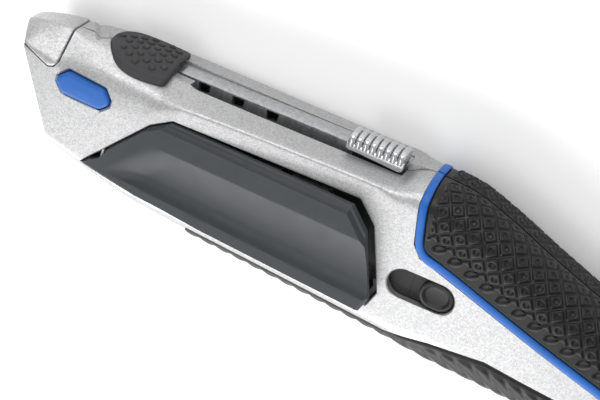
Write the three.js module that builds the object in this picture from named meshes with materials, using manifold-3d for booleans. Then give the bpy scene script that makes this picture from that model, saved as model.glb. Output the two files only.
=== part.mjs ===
// Retractable utility knife with a spare-blade magazine in its side, in millimetres.
// +X is the nose, -Y the spine, +Y the belly and +Z the side with the magazine door. The knife lies on its
// other side, so the model stands on z = 0. Shapes are worked out about the blade's plane and then lifted
// by HALF_WIDTH. Both halves of the body are lofts of one family of cross-sections, and every inlay (nose
// cap, grips, trims, thumb rest) is a patch of that same surface.
import * as THREE from 'three';
import { mergeVertices } from 'three/addons/utils/BufferGeometryUtils.js';
import Module from 'manifold-3d';

// ---------------------------------------------------------------- driving dimensions
const HALF_WIDTH = 12;            // blade plane to the flat far side
const GAP = 0.3;                  // clearance between touching pieces
const WALL = 2.4;                 // wall of the die-cast shells
const INLAY = 1.3;                // depth that the rubber and trim are let in
const TRAVEL = 38.8;              // knob travel, four detents
const DETENT_PITCH = 9.7;
const DOOR_AJAR = 4.2 * Math.PI / 180;   // the door as it stands, popped by its spring
const HINGE = { x: 51.5, z: 10.2, radius: 0.6, from: 1.2, to: 10.9 };
const BLADE = { long: 61, short: 33, height: 19, thick: 0.6, rear: 3, edge: 7 };
const SLOT = { rear: -24.8, front: 38.4, rail: -2.5, wall: 0.9, lip: 3 };
const KNOB = { rear: -23.8, front: -8.2, top: -25.4, ridges: 8 };
const BUTTON = { x: 60.5, y: -10.2, length: 16.2, width: 6.6, corner: 2.4, turn: 0.07, travel: 1.5 };
const LATCH = { x: -39, y: 4.2, length: 18, width: 8.2, travel: 4.2, thumb: 9.2 };
const SCREWS = [[46, -16.6], [-36, 13.4], [-64, 9.4]];
const FAR = 60;                   // larger than the knife, for cutting prisms

// Section drivers along X: straight between the points.
const SPINE_NEAR = [[86, -17.5], [82, -19.6], [76, -21], [69.5, -21.8], [60, -22], [50, -21.3], [40, -20.2],
  [36, -20], [0, -19.5], [-24.4, -19.6], [-27.4, -21.2], [-31, -22.2], [-41, -21.6], [-52, -18.4],
  [-65, -13.2], [-80, -7.6], [-90, -4.2], [-96, -1], [-99, 4]];
const SPINE_FAR = [[86, -17.5], [82, -19.6], [76, -21], [69.5, -21.8], [60, -22.2], [42, -22], [0, -21.4],
  [-20, -21.2], [-31, -22.2], [-41, -21.6], [-52, -18.4], [-65, -13.2], [-80, -7.6], [-90, -4.2],
  [-96, -1], [-99, 4]];
const BELLY = [[86, 4.8], [66.7, 9], [56.7, 11.4], [41.6, 14.9], [25.7, 16.6], [0, 18.7], [-33.6, 21.6],
  [-45, 23], [-60, 23.8], [-80, 25], [-90, 25.6], [-96, 24.6], [-99, 20]];
const CROWN_NEAR = [[86, 1.6], [69.5, 3.3], [60, 3.5], [44, 3.2], [-24.4, 3.4], [-27.4, 5], [-31, 6.6],
  [-45, 7.2], [-90, 6.8], [-99, 5]];
const CROWN_FAR = [[86, 3.3], [78, 4.6], [69.5, 6.2], [60, 8.6], [48, 10.6], [-22, 10.6], [-31, 7], [-45, 7.2],
  [-90, 6.8], [-99, 5]];
const RIDGE_NEAR = [[86, -14.6], [80, -15], [69.5, -13.6], [60, -14.8], [50, -15.8], [33, -17.1],
  [10, -18.1], [-18.4, -18.6], [-24.4, -18.6], [-31, -18.4], [-41, -17.2], [-52, -13.6], [-65, -8.2],
  [-80, -2.6], [-90, 1], [-96, 3.6], [-99, 7]];
const RIDGE_FAR = [[86, -14.6], [80, -15], [69.5, -13.6], [60, -16.6], [48, -20.4], [0, -20], [-22, -19.8],
  [-31, -18.4], [-41, -17.2], [-52, -13.6], [-65, -8.2], [-80, -2.6], [-90, 1], [-96, 3.6], [-99, 7]];
const SIDE_NEAR = [[86, 8], [80, 8.7], [69.5, 9.9], [60, 10.7], [45, 11.6], [32, 12], [-41, 12.2],
  [-70, 12.8], [-90, 12.2], [-96, 10.8], [-99, 8]];
const SIDE_FAR = [[86, 8], [80, 8.7], [69.5, 9.9], [60, 10.9], [45, 12], [-24.4, 12], [-31, 11.4],
  [-90, 11.4], [-96, 10.6], [-99, 8]];
const KEEL = [[86, 3.4], [66.7, 7.4], [56.7, 9.2], [41.6, 11.8], [25.7, 12.9], [0, 14.6], [-33.6, 17.4],
  [-45, 18], [-60, 18.6], [-80, 19.8], [-90, 20.4], [-96, 20], [-99, 17]];
const FOOT = [[86, 6.8], [66.7, 7.8], [56, 9], [-90, 9], [-96, 8], [-99, 6]];   // half-width of the belly
const STATIONS = [86, 82, 76, 69.5, 60, 50, 41.6, 33, 25.7, 0, -18.4, -24.4, -27.4, -31, -36, -41, -52, -65, -80, -90,
  -96, -99];

// Plan outlines (x, y) of the patches, all walked the same way round.
const GRIP_PATCH = [[-31.2, -40], [-31.6, -18], [-33.6, -7.4], [-36, -4.4], [-41.4, -2.8], [-87, 11.4],
  [-104, 17], [-104, -40]];
const TRIM_WIDTH = 2.3;
const CAP_PATCH = [[69.9, -40], [69.9, -15.4], [70.8, -13.8], [72.6, -13.3], [96, -18.4], [96, -40]];
const BELLY_PATCH = [[27, 40], [24.6, 15], [0, 16.8], [-33, 19.2], [-45, 16.8], [-60, 15], [-104, 19.4],
  [-104, 40]];
const DOOR_OUTLINE = [[56.3, 8.8], [39.9, -8.9], [34.4, -12.3], [-17.2, -12.9], [-22.4, -7.6],
  [-28.2, 9.4], [-26.6, 13.5], [20, 12.3], [40, 11]];
const PAD_OUTLINE = [[40.4, -7.5], [40.4, 7.6], [48.4, 8.4], [54.9, 7.2], [59.4, 3.2], [60.2, -1], [59, -5],
  [55.4, -8], [48.4, -8.6]];          // (x, z), seen from the spine

const wasm = await Module();
wasm.setup();

// ---------------------------------------------------------------- geometry helpers
function solid(geometry) {
  const plain = geometry.clone();
  plain.deleteAttribute('normal');
  plain.deleteAttribute('uv');
  const merged = mergeVertices(plain, 1e-4);
  const mesh = new wasm.Mesh({
    numProp: 3,
    vertProperties: new Float32Array(merged.attributes.position.array),
    triVerts: new Uint32Array(merged.index.array),
  });
  return new wasm.Manifold(mesh);
}

function geometryOf(manifold) {
  const mesh = manifold.getMesh();
  const geometry = new THREE.BufferGeometry();
  const points = [];
  for (let i = 0; i < mesh.numVert; i += 1) {
    points.push(...mesh.vertProperties.slice(i * mesh.numProp, i * mesh.numProp + 3));
  }
  geometry.setAttribute('position', new THREE.Float32BufferAttribute(points, 3));
  geometry.setIndex([...mesh.triVerts]);
  geometry.computeVertexNormals();
  return geometry;
}

function along(table, x) {
  const next = table.findIndex(([tx]) => tx <= x);
  if (next <= 0) return table[next === 0 ? 0 : table.length - 1][1];
  const [x0, v0] = table[next - 1];
  const [x1, v1] = table[next];
  return v0 + (v1 - v0) * (x - x0) / (x1 - x0);
}

// Moves each edge of a polygon outward by distance; the polygon turns anticlockwise.
function grow(points, distance) {
  return points.map((point, i) => {
    const before = points[(i + points.length - 1) % points.length];
    const after = points[(i + 1) % points.length];
    const a = new THREE.Vector2(point[1] - before[1], before[0] - point[0]).normalize();
    const b = new THREE.Vector2(after[1] - point[1], point[0] - after[0]).normalize();
    const mitre = a.clone().add(b).multiplyScalar(distance / (1 + a.dot(b)));
    return [point[0] + mitre.x, point[1] + mitre.y];
  });
}

function anticlockwise(points) {
  const vectors = points.map(([x, y]) => new THREE.Vector2(x, y));
  return THREE.ShapeUtils.isClockWise(vectors) ? [...points].reverse() : points;
}

function grown(points, distance) {
  return grow(anticlockwise(points), distance);
}

function shapeOf(points) {
  return new THREE.Shape(points.map(([x, y]) => new THREE.Vector2(x, y)));
}

// A straight prism over a plan outline, from z = low to z = high.
function prism(points, low, high) {
  const geometry = new THREE.ExtrudeGeometry(shapeOf(anticlockwise(points)), {
    depth: high - low, bevelEnabled: false, curveSegments: 8,
  });
  return geometry.translate(0, 0, low);
}

function box(x0, x1, y0, y1, z0, z1) {
  const geometry = new THREE.BoxGeometry(x1 - x0, y1 - y0, z1 - z0);
  return geometry.translate((x0 + x1) / 2, (y0 + y1) / 2, (z0 + z1) / 2);
}

function pin(radius, length, sides = 16) {
  return new THREE.CylinderGeometry(radius, radius, length, sides);   // along Y
}

function post(x, y, radius, z0, z1, sides = 20) {
  return pin(radius, z1 - z0, sides).rotateX(Math.PI / 2).translate(x, y, (z0 + z1) / 2);
}

function stadium(x, y, length, width, steps = 8) {
  const points = [];
  for (const end of [1, -1]) {
    for (let i = 0; i <= steps; i += 1) {
      const angle = -Math.PI / 2 * end + Math.PI * i / steps;
      points.push([x + end * (length - width) / 2 + Math.cos(angle) * width / 2,
        y + Math.sin(angle) * width / 2]);
    }
  }
  return points;
}

function octagon(x, y, length, width, corner, turn) {
  const a = length / 2;
  const b = width / 2;
  const ring = [[a - corner, -b], [a, -b + corner], [a, b - corner], [a - corner, b],
    [corner - a, b], [-a, b - corner], [-a, corner - b], [corner - a, -b]];
  return ring.map(([u, v]) => [x + u * Math.cos(turn) - v * Math.sin(turn),
    y + u * Math.sin(turn) + v * Math.cos(turn)]);
}

// Replaces each inner corner of a chain by three points of a quadratic curve.
function soften(chain, radii) {
  const out = [chain[0]];
  for (let i = 1; i < chain.length - 1; i += 1) {
    const corner = new THREE.Vector2(...chain[i]);
    const toward = (other) => {
      const reach = new THREE.Vector2(...other).sub(corner);
      return corner.clone().add(reach.multiplyScalar(Math.min(0.45, radii[i - 1] / reach.length())));
    };
    const start = toward(chain[i - 1]);
    const end = toward(chain[i + 1]);
    const middle = corner.clone().multiplyScalar(2).add(start).add(end).divideScalar(4);
    for (const p of [start, middle, end]) out.push([p.x, p.y]);
  }
  out.push(chain[chain.length - 1]);
  return out;
}

// Half of a cross-section as a chain of (y, z), from the spine to the belly at the blade plane. The outer
// surface has soft corners; the surfaces inside the walls keep sharp ones.
function halfSection(x, side, offset) {
  const near = side > 0;
  const spine = along(near ? SPINE_NEAR : SPINE_FAR, x);
  const crown = along(near ? CROWN_NEAR : CROWN_FAR, x);
  const ridge = along(near ? RIDGE_NEAR : RIDGE_FAR, x);
  const width = along(near ? SIDE_NEAR : SIDE_FAR, x);
  const belly = along(BELLY, x);
  const keel = along(KEEL, x);
  const foot = along(FOOT, x);
  const ring = [[belly, -FAR], [belly, foot], [keel, width], [ridge, width], [spine, crown], [spine, -FAR]];
  const moved = grow(ring, offset).reverse();
  moved[0][1] = 0;
  moved[5][1] = 0;
  const chain = offset < 0 ? moved : soften(moved, [1.2, 2, 1.6, 2]);
  return chain.map(([y, z]) => [y, z * side]);
}

// One half of the body, its surface moved out by offset: the sections joined along X and capped.
function half(side, offset) {
  const rings = STATIONS.map((x, i) => {
    const inset = i === 0 ? offset : (i === STATIONS.length - 1 ? -offset : 0);
    return halfSection(x, side, offset).map(([y, z]) => [x + inset, y, z]);
  });
  const count = rings[0].length;
  const index = [];
  const quad = (a, b, c, d) => index.push(a, b, c, a, c, d);
  rings.slice(1).forEach((ring, i) => {
    for (let j = 0; j < count; j += 1) {
      const k = (j + 1) % count;
      quad(i * count + j, (i + 1) * count + j, (i + 1) * count + k, i * count + k);
    }
  });
  const last = (rings.length - 1) * count;
  for (let j = 1; j < count - 1; j += 1) {
    index.push(0, j, j + 1);
    index.push(last, last + j + 1, last + j);
  }
  if (side > 0) index.reverse();
  const geometry = new THREE.BufferGeometry();
  geometry.setAttribute('position', new THREE.Float32BufferAttribute(rings.flat(2), 3));
  geometry.setIndex(index);
  return solid(geometry);
}

const sideOf = (side) => (side > 0 ? [0, FAR] : [-FAR, 0]);
const surface = new Map();
function skin(side, offset) {
  const key = `${side} ${offset}`;
  if (!surface.has(key)) surface.set(key, half(side, offset));
  return surface.get(key);
}

// A patch of the body's skin over a plan outline, from depth below the surface to proud above it.
function patch(outline, side, proud, depth) {
  const column = solid(prism(outline, side > 0 ? GAP / 2 : -FAR, side > 0 ? FAR : -GAP / 2));
  return skin(side, proud).intersect(column).subtract(skin(side, -depth));
}

function recess(outline, side, depth) {
  const column = solid(prism(outline, ...sideOf(side)));
  return column.subtract(skin(side, -depth));
}

// The slanted cut across the nose, top corner forward.
const noseCut = solid(prism([[89.6, -32], [60.8, 20], [120, 20], [120, -32]], -FAR, FAR));

// ---------------------------------------------------------------- materials
const finish = (color, roughness, metalness) => new THREE.MeshStandardMaterial({ color, roughness, metalness });
const silver = finish(0xc9cbcd, 0.42, 0.7);
const capSilver = finish(0xd2d4d6, 0.38, 0.7);
const steel = finish(0xb4b7ba, 0.28, 0.95);
const chrome = finish(0xd8dadd, 0.12, 1);
const rubber = finish(0x3c3d3f, 0.8, 0);
const blackRubber = finish(0x1d1e20, 0.78, 0);
const blue = finish(0x2a6ab8, 0.45, 0);
const doorGrey = finish(0x45494d, 0.4, 0.1);
const black = finish(0x17181a, 0.55, 0);

const knife = new THREE.Group();
knife.position.z = HALF_WIDTH;

function add(name, geometry, material, parent = knife) {
  const mesh = new THREE.Mesh(geometry, material);
  mesh.name = name;
  parent.add(mesh);
  return mesh;
}

// ---------------------------------------------------------------- inlays of the body surface
const trimInner = grown(GRIP_PATCH, -TRIM_WIDTH);
const trimOuter = grown(GRIP_PATCH, -GAP / 2);
const gripOutline = grown(trimInner, -GAP / 2);
for (const [side, name] of [[1, 'left'], [-1, 'right']]) {
  const grip = patch(gripOutline, side, 0.35, INLAY - GAP);
  const ring = patch(trimOuter, side, 0.45, INLAY - GAP)
    .subtract(solid(prism(grown(trimInner, GAP / 2), -FAR, FAR)));
  add(`${name}_grip`, geometryOf(grip), blackRubber);
  add(`${name}_trim`, geometryOf(ring), blue);
}

const bellyInner = grown(BELLY_PATCH, -GAP);
const bellyColumn = solid(prism(bellyInner, -FAR, FAR));
const bellyGrip = skin(1, 0.9).add(skin(-1, 0.9)).intersect(bellyColumn)
  .subtract(skin(1, GAP - INLAY)).subtract(skin(-1, GAP - INLAY))
  .intersect(solid(box(-FAR * 2, FAR, -FAR, FAR, 0.35 - HALF_WIDTH, HALF_WIDTH)));
add('belly_grip', geometryOf(bellyGrip), blackRubber);

const capInner = grown(CAP_PATCH, -GAP);
const cap = skin(1, 0.2).add(skin(-1, 0.2)).intersect(solid(prism(capInner, -FAR, FAR)))
  .subtract(skin(1, GAP - 2)).subtract(skin(-1, GAP - 2)).subtract(noseCut);
add('nose_cap', geometryOf(cap), capSilver);

// ---------------------------------------------------------------- the two shells
const capHole = grown(CAP_PATCH, 0);
const doorHole = grown(DOOR_OUTLINE, 0.35);
const buttonOutline = (extra) => octagon(BUTTON.x, BUTTON.y, BUTTON.length + extra, BUTTON.width + extra,
  BUTTON.corner + extra * 0.3, BUTTON.turn);

function shell(side) {
  const near = side > 0;
  const half0 = near ? 0 : -FAR;
  const half1 = near ? FAR : 0;
  const bosses = SCREWS.map(([x, y]) => solid(post(x, y, 3.2, near ? 0 : -FAR, near ? FAR : 0)));
  const ribs = near
    ? [box(50, 72, -22, -4.6, 3.1, 4.1)]
    : [box(-18, 60, -14.6, -13.4, -FAR, -GAP), box(-18, 58, 8.9, 10.1, -FAR, -GAP),
      box(-60, -58.6, -18, 22, -FAR, -GAP)];
  let cavity = skin(side, -WALL).intersect(solid(box(-94, 71, -FAR, FAR, half0, half1)));
  for (const kept of [...bosses, ...ribs.map(solid)]) cavity = cavity.subtract(kept);
  let body = skin(side, 0).subtract(cavity).subtract(noseCut);
  const cuts = [
    recess(GRIP_PATCH, side, INLAY),
    recess(BELLY_PATCH, side, INLAY),
    recess(capHole, side, 2),
    solid(box(58, 100, -12.7, 7.6, -0.7, 0.8)),
    solid(box(-FAR * 2, FAR * 2, -FAR, FAR, near ? -1 : -GAP / 2, near ? GAP / 2 : 1)),
    solid(box(SLOT.rear, SLOT.front, -FAR, -13.4, near ? 0 : SLOT.rail - GAP, near ? SLOT.lip : 0)),
  ];
  if (near) {
    cuts.push(solid(prism(doorHole, 3, FAR)));
    cuts.push(solid(prism(buttonOutline(0.6), 4.2, FAR)));
    cuts.push(solid(prism(stadium(LATCH.x, LATCH.y, LATCH.length, LATCH.width), 6, FAR)));
    cuts.push(solid(pin(HINGE.radius + 0.15, HINGE.to - HINGE.from + 0.6)
      .translate(HINGE.x, (HINGE.from + HINGE.to) / 2, HINGE.z)));
    for (const [x, y] of SCREWS) cuts.push(solid(post(x, y, 1.5 + GAP / 2, -1, 6.5)));
  } else {
    for (const [x, y] of SCREWS) {
      cuts.push(solid(post(x, y, 1.5 + GAP, -FAR, 1)));
      cuts.push(solid(post(x, y, 2.7 + GAP, -FAR, -9.4)));
    }
  }
  for (const cut of cuts) body = body.subtract(cut);
  return body;
}
const nearShell = shell(1);
const farShell = shell(-1);

// The thumb rest sits on both shells, so it is cut clear of their surface.
const padColumn = solid(prism(PAD_OUTLINE, 15, 30).rotateX(Math.PI / 2));
const pad = skin(1, 2).add(skin(-1, 2)).intersect(padColumn).subtract(skin(1, GAP)).subtract(skin(-1, GAP));
add('thumb_rest', geometryOf(pad), rubber);
add('near_shell', geometryOf(nearShell), silver);
add('far_shell', geometryOf(farShell), silver);


// ---------------------------------------------------------------- slide, carrier and blade
function joined(pieces) {
  return pieces.map(solid).reduce((all, piece) => all.add(piece));
}

// The blade's outline: long cutting edge on the belly side, short back towards the spine.
function bladeOutline(rear, edge) {
  const inset = (BLADE.long - BLADE.short) / 2;
  return [[rear, edge], [rear + BLADE.long, edge], [rear + BLADE.long - inset, edge - BLADE.height],
    [rear + inset, edge - BLADE.height]];
}

function bladePlate(rear, edge, middle) {
  const low = middle - BLADE.thick / 2;
  const notches = [-5, 5].map((along0) => solid(box(rear + BLADE.long / 2 + along0 - 1.5,
    rear + BLADE.long / 2 + along0 + 1.5, edge - BLADE.height - 1, edge - BLADE.height + 2.6,
    low - 1, low + BLADE.thick + 1)));
  return notches.reduce((plate, notch) => plate.subtract(notch),
    solid(prism(bladeOutline(rear, edge), low, low + BLADE.thick)));
}

const ridgePitch = (KNOB.front - KNOB.rear) / (KNOB.ridges + 1);
const ridgeTops = Array.from({ length: KNOB.ridges + 1 }, (_, i) => post(0, 0, 0.75, -3.1, 3.5, 8)
  .translate(KNOB.rear + ridgePitch * (i + 0.5), KNOB.top + 0.75, 0));
const knob = joined([
  box(KNOB.rear + 0.2, KNOB.front - 0.2, KNOB.top + 0.6, -22.2, -3.1, 4.4),
  box(KNOB.rear + 0.2, KNOB.front - 0.2, -23, -20.4, 3.3, 4.8),
  box(KNOB.rear + 0.2, KNOB.front - 0.2, -22.3, -20, 1.25, 2.75),
  ...ridgeTops,
]);
add('slider_knob', geometryOf(knob), chrome);

const carrier = joined([
  box(-22, 30, -13, 5, 0.6, 2.5),
  box(-22, -10, -19.7, -12.9, 1.25, 2.6),
  box(-22, 1.5, -11, 5, -0.5, 0.7),
]).subtract(solid(box(-8, 0, -16, -13.6, 0, 4)));
add('blade_carrier', geometryOf(carrier), black);

const bladeX = BLADE.rear;
add('blade', geometryOf(bladePlate(bladeX, BLADE.edge, 0)), steel);
add('detent_spring', geometryOf(joined([
  box(-9.7, -4.4, -19.4, -17.2, 2.1, 2.5),
  box(-7.2, -5.4, -19.4, -17.2, 1.2, 2.2),
])), steel);

const railNotches = Array.from({ length: 5 }, (_, i) => solid(box(
  -7.8 + i * DETENT_PITCH, -4.8 + i * DETENT_PITCH, -24, -18.6, -0.3, 2)));
const rail = railNotches.reduce((all, notch) => all.subtract(notch),
  solid(box(SLOT.rear + GAP, SLOT.front - 3 * GAP, -21.1, -16.4, SLOT.rail, SLOT.wall)));
add('detent_rail', geometryOf(rail), steel);

add('blade_guide', geometryOf(joined([box(4, 68, -12.6, 6, -1.6, -0.6)])), black);

// ---------------------------------------------------------------- blade release button
const button = solid(prism(buttonOutline(0), 6.8, 11.1)).add(solid(prism(buttonOutline(1), 6.4, 7.2)));
add('release_button', geometryOf(button), blue);

// A bowed leaf under the button: its ends rest on the shelf and its middle carries the button.
const LEAF = { half: 5.5, thick: 0.4, low: 4.4, rise: 1.2, width: 4, steps: 8 };
const bow = (t, lift) => [LEAF.half * t, LEAF.low + lift + LEAF.rise * (1 - t * t)];
const leafEdge = (lift) => Array.from({ length: LEAF.steps + 1 }, (_, i) => bow(2 * i / LEAF.steps - 1, lift));
const leafSide = shapeOf([...leafEdge(0), ...leafEdge(LEAF.thick).reverse()]);
add('button_spring', new THREE.ExtrudeGeometry(leafSide, { depth: LEAF.width, bevelEnabled: false })
  .rotateX(Math.PI / 2).translate(BUTTON.x, BUTTON.y + LEAF.width / 2, 0), steel);

// ---------------------------------------------------------------- spare-blade magazine
const trayOutline = grown(DOOR_OUTLINE, 0);
const tray = solid(prism(trayOutline, 3.4, 9.3))
  .subtract(solid(prism(grown(DOOR_OUTLINE, -1.3), 4.4, 20)))
  .subtract(solid(box(44, 60, -20, 20, 5, 20)))
  .subtract(solid(box(-40, -24, 1.4, 7.4, 4.6, 20)));
add('magazine_tray', geometryOf(tray), black);
for (let i = 0; i < 3; i += 1) {
  add(`spare_blade_${i + 1}`, geometryOf(bladePlate(-22, 9.2, 5 + 0.9 * i)), steel);
}
add('magazine_spring', geometryOf(joined([
  box(-20, 24, -3, 3, 7.5, 7.9), box(-20, -14, -3, 3, 7.8, 8.3), box(20, 24, -3, 3, 7.8, 8.9),
])), steel);

const doorPivot = new THREE.Group();
doorPivot.position.set(HINGE.x, 0, HINGE.z);
doorPivot.rotation.y = DOOR_AJAR;
knife.add(doorPivot);

const pinHole = solid(pin(HINGE.radius + 0.1, FAR).translate(HINGE.x, 0, HINGE.z));
// The door's slanted front edge stands back beside the pin, so that it can swing clear of the shell.
const frontRelief = solid(prism([[57, 9], [54.8, 8.7], [47.2, 0.5], [47.4, -2], [60, 6]], 0, FAR));
const door = solid(prism(grown(DOOR_OUTLINE, 0), 9.9, 11.3))
  .add(solid(prism(grown(DOOR_OUTLINE, -1), 11.2, 12.2)))
  .add(solid(box(50.4, 52.6, 5.6, 8.8, 8.9, 10.5)))
  .add(solid(box(-23.6, -22.2, 3.2, 6, 5.4, 10)))
  .add(solid(box(-25.4, -23, 3.2, 6, 5.4, 7.2)))
  .subtract(frontRelief)
  .subtract(pinHole);
add('magazine_door', geometryOf(door).translate(-HINGE.x, 0, -HINGE.z), doorGrey, doorPivot);
add('door_hinge_pin', pin(HINGE.radius, HINGE.to - HINGE.from)
  .translate(HINGE.x, (HINGE.from + HINGE.to) / 2, HINGE.z), steel);

// ---------------------------------------------------------------- door latch
const thumbX = LATCH.x - (LATCH.length - LATCH.thumb) / 2 + GAP;
const latchSlider = solid(prism(stadium(thumbX, LATCH.y, LATCH.thumb, LATCH.width - 2 * GAP), 8.9, 11.7))
  .add(solid(box(-50.5, -34.5, LATCH.y - 4.6, LATCH.y + 4.6, 8.6, 9.4)));
add('latch_slider', geometryOf(latchSlider), black);
add('latch_bolt', geometryOf(joined([
  box(-46, -28.8, 2.9, 6.3, 7.6, 8.3), box(-43, -41, 2.9, 6.3, 6.6, 7.8),
])), steel);
add('latch_guide', geometryOf(joined([
  box(-54, -30.6, -2.4, 0.6, 5, 7.9), box(-54, -30.6, 8.2, 9.8, 5, 7.9),
  box(-54, -30.6, -2.4, 9.8, 5, 6.2),
])), black);

// ---------------------------------------------------------------- shell screws, from the far side
SCREWS.forEach(([x, y], i) => {
  const socket = new THREE.CylinderGeometry(1.2, 1.2, 3, 6).rotateX(Math.PI / 2).translate(x, y, -12.2);
  const screw = solid(post(x, y, 2.7, -11.7, -9.7)).add(solid(post(x, y, 1.5, -10, 5.5)))
    .subtract(solid(socket));
  add(`shell_screw_${['front', 'middle', 'rear'][i]}`, geometryOf(screw), steel);
});

export default knife;
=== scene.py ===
import math

import bpy
import numpy as np
from mathutils import Matrix, Vector


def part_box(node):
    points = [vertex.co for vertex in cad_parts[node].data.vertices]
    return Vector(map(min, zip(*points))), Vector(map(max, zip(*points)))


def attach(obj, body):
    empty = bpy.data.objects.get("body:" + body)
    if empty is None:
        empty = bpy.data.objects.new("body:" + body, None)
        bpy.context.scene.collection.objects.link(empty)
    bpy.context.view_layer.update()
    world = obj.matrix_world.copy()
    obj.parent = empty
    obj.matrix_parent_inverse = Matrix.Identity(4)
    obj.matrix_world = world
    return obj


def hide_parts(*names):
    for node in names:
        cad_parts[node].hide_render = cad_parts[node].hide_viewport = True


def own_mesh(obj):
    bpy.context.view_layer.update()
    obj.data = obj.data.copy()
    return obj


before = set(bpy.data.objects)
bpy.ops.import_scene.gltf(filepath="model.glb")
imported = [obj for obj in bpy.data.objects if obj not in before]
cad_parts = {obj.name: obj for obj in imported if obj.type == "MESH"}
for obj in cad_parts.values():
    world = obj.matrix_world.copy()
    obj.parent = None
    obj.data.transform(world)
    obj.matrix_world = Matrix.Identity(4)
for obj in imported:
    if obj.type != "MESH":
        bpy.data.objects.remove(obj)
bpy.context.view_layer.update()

bl_info = {
    "name": "Utility knife",
    "version": (1, 0, 0),
    "blender": (4, 5, 0),
    "location": "View3D > Sidebar > Knife",
    "description": "Builds the fine surfaces, finishes and stage of a retractable utility knife",
    "category": "Add Mesh",
}

# Lengths are in millimetres about the blade plane: +X nose, -Y spine, +Y belly, +Z magazine side.
MM = 0.001
LIFT = 500.0 * (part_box("blade")[0].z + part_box("blade")[1].z)      # height of the blade plane
RISE = np.array([0.0, 0.0, LIFT])

# ------------------------------------------------------------------ drivers of the body's cross-section
SPINE_NEAR = [(86, -17.5), (82, -19.6), (76, -21), (69.5, -21.8), (60, -22), (50, -21.3), (40, -20.2),
              (36, -20), (0, -19.5), (-24.4, -19.6), (-27.4, -21.2), (-31, -22.2), (-41, -21.6),
              (-52, -18.4), (-65, -13.2), (-80, -7.6), (-90, -4.2), (-96, -1), (-99, 4)]
SPINE_FAR = [(86, -17.5), (82, -19.6), (76, -21), (69.5, -21.8), (60, -22.2), (42, -22), (0, -21.4),
             (-20, -21.2), (-31, -22.2), (-41, -21.6), (-52, -18.4), (-65, -13.2), (-80, -7.6),
             (-90, -4.2), (-96, -1), (-99, 4)]
BELLY = [(86, 4.8), (66.7, 9), (56.7, 11.4), (41.6, 14.9), (25.7, 16.6), (0, 18.7), (-33.6, 21.6),
         (-45, 23), (-60, 23.8), (-80, 25), (-90, 25.6), (-96, 24.6), (-99, 20)]
CROWN_NEAR = [(86, 1.6), (69.5, 3.3), (60, 3.5), (44, 3.2), (-24.4, 3.4), (-27.4, 5), (-31, 6.6),
              (-45, 7.2), (-90, 6.8), (-99, 5)]
CROWN_FAR = [(86, 3.3), (78, 4.6), (69.5, 6.2), (60, 8.6), (48, 10.6), (-22, 10.6), (-31, 7), (-45, 7.2),
             (-90, 6.8), (-99, 5)]
RIDGE_NEAR = [(86, -14.6), (80, -15), (69.5, -13.6), (60, -14.8), (50, -15.8), (33, -17.1),
              (10, -18.1), (-18.4, -18.6), (-24.4, -18.6), (-31, -18.4), (-41, -17.2), (-52, -13.6),
              (-65, -8.2), (-80, -2.6), (-90, 1), (-96, 3.6), (-99, 7)]
RIDGE_FAR = [(86, -14.6), (80, -15), (69.5, -13.6), (60, -16.6), (48, -20.4), (0, -20), (-22, -19.8),
             (-31, -18.4), (-41, -17.2), (-52, -13.6), (-65, -8.2), (-80, -2.6), (-90, 1),
             (-96, 3.6), (-99, 7)]
SIDE_NEAR = [(86, 8), (80, 8.7), (69.5, 9.9), (60, 10.7), (45, 11.6), (32, 12), (-41, 12.2),
             (-70, 12.8), (-90, 12.2), (-96, 10.8), (-99, 8)]
SIDE_FAR = [(86, 8), (80, 8.7), (69.5, 9.9), (60, 10.9), (45, 12), (-24.4, 12), (-31, 11.4),
            (-90, 11.4), (-96, 10.6), (-99, 8)]
KEEL = [(86, 3.4), (66.7, 7.4), (56.7, 9.2), (41.6, 11.8), (25.7, 12.9), (0, 14.6), (-33.6, 17.4),
        (-45, 18), (-60, 18.6), (-80, 19.8), (-90, 20.4), (-96, 20), (-99, 17)]
FOOT = [(86, 6.8), (66.7, 7.8), (56, 9), (-90, 9), (-96, 8), (-99, 6)]
# Length of each rounded corner along X: crown, ridge, keel and foot.
ROUND_NEAR = [[(86, 0.4), (69.5, 0.4), (66, 2.2), (60, 2.4), (40, 1), (33, 0.5), (-24, 0.5), (-31, 3),
               (-99, 4)],
              [(86, 1), (70.4, 1), (68.4, 4), (56, 7), (44, 6.5), (37, 3), (32, 1.4), (-20, 1.4), (-28, 4),
               (-99, 5)],
              [(86, 1.2), (60, 1.2), (-30, 1.2), (-45, 3), (-99, 4)],
              [(86, 1.5), (30, 2), (-99, 5)]]
ROUND_FAR = [[(86, 1.2), (60, 1.6), (40, 1), (-24, 1), (-31, 3), (-99, 4)],
             [(86, 3), (69, 3), (48, 1.2), (-20, 1.2), (-28, 4), (-99, 5)],
             [(86, 1.2), (60, 1.2), (-30, 1.2), (-45, 3), (-99, 4)],
             [(86, 1.5), (30, 2), (-99, 5)]]
NOSE_TOP = (83.0, -19.9)           # a point of the slanted front edge, and its lean per millimetre of Y
NOSE_LEAN = -0.5583


def curve(table, x):
    """Smooth value of a driver at x: a monotone cubic through its points (harmonic-mean slopes)."""
    points = np.array(sorted(table), float)
    xs, ys = points[:, 0], points[:, 1]
    step = np.diff(xs)
    rise = np.diff(ys) / step
    slope = np.concatenate([[rise[0]], np.zeros(len(xs) - 2), [rise[-1]]])
    same = rise[:-1] * rise[1:] > 0
    slope[1:-1][same] = 2 * rise[:-1][same] * rise[1:][same] / (rise[:-1] + rise[1:])[same]
    x = np.asarray(x, float)
    i = np.clip(np.searchsorted(xs, x) - 1, 0, len(step) - 1)
    t = np.clip((x - xs[i]) / step[i], 0, 1)
    return ((1 + 2 * t) * (1 - t) ** 2 * ys[i] + t * (1 - t) ** 2 * step[i] * slope[i]
            + t * t * (3 - 2 * t) * ys[i + 1] + t * t * (t - 1) * step[i] * slope[i + 1])


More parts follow.
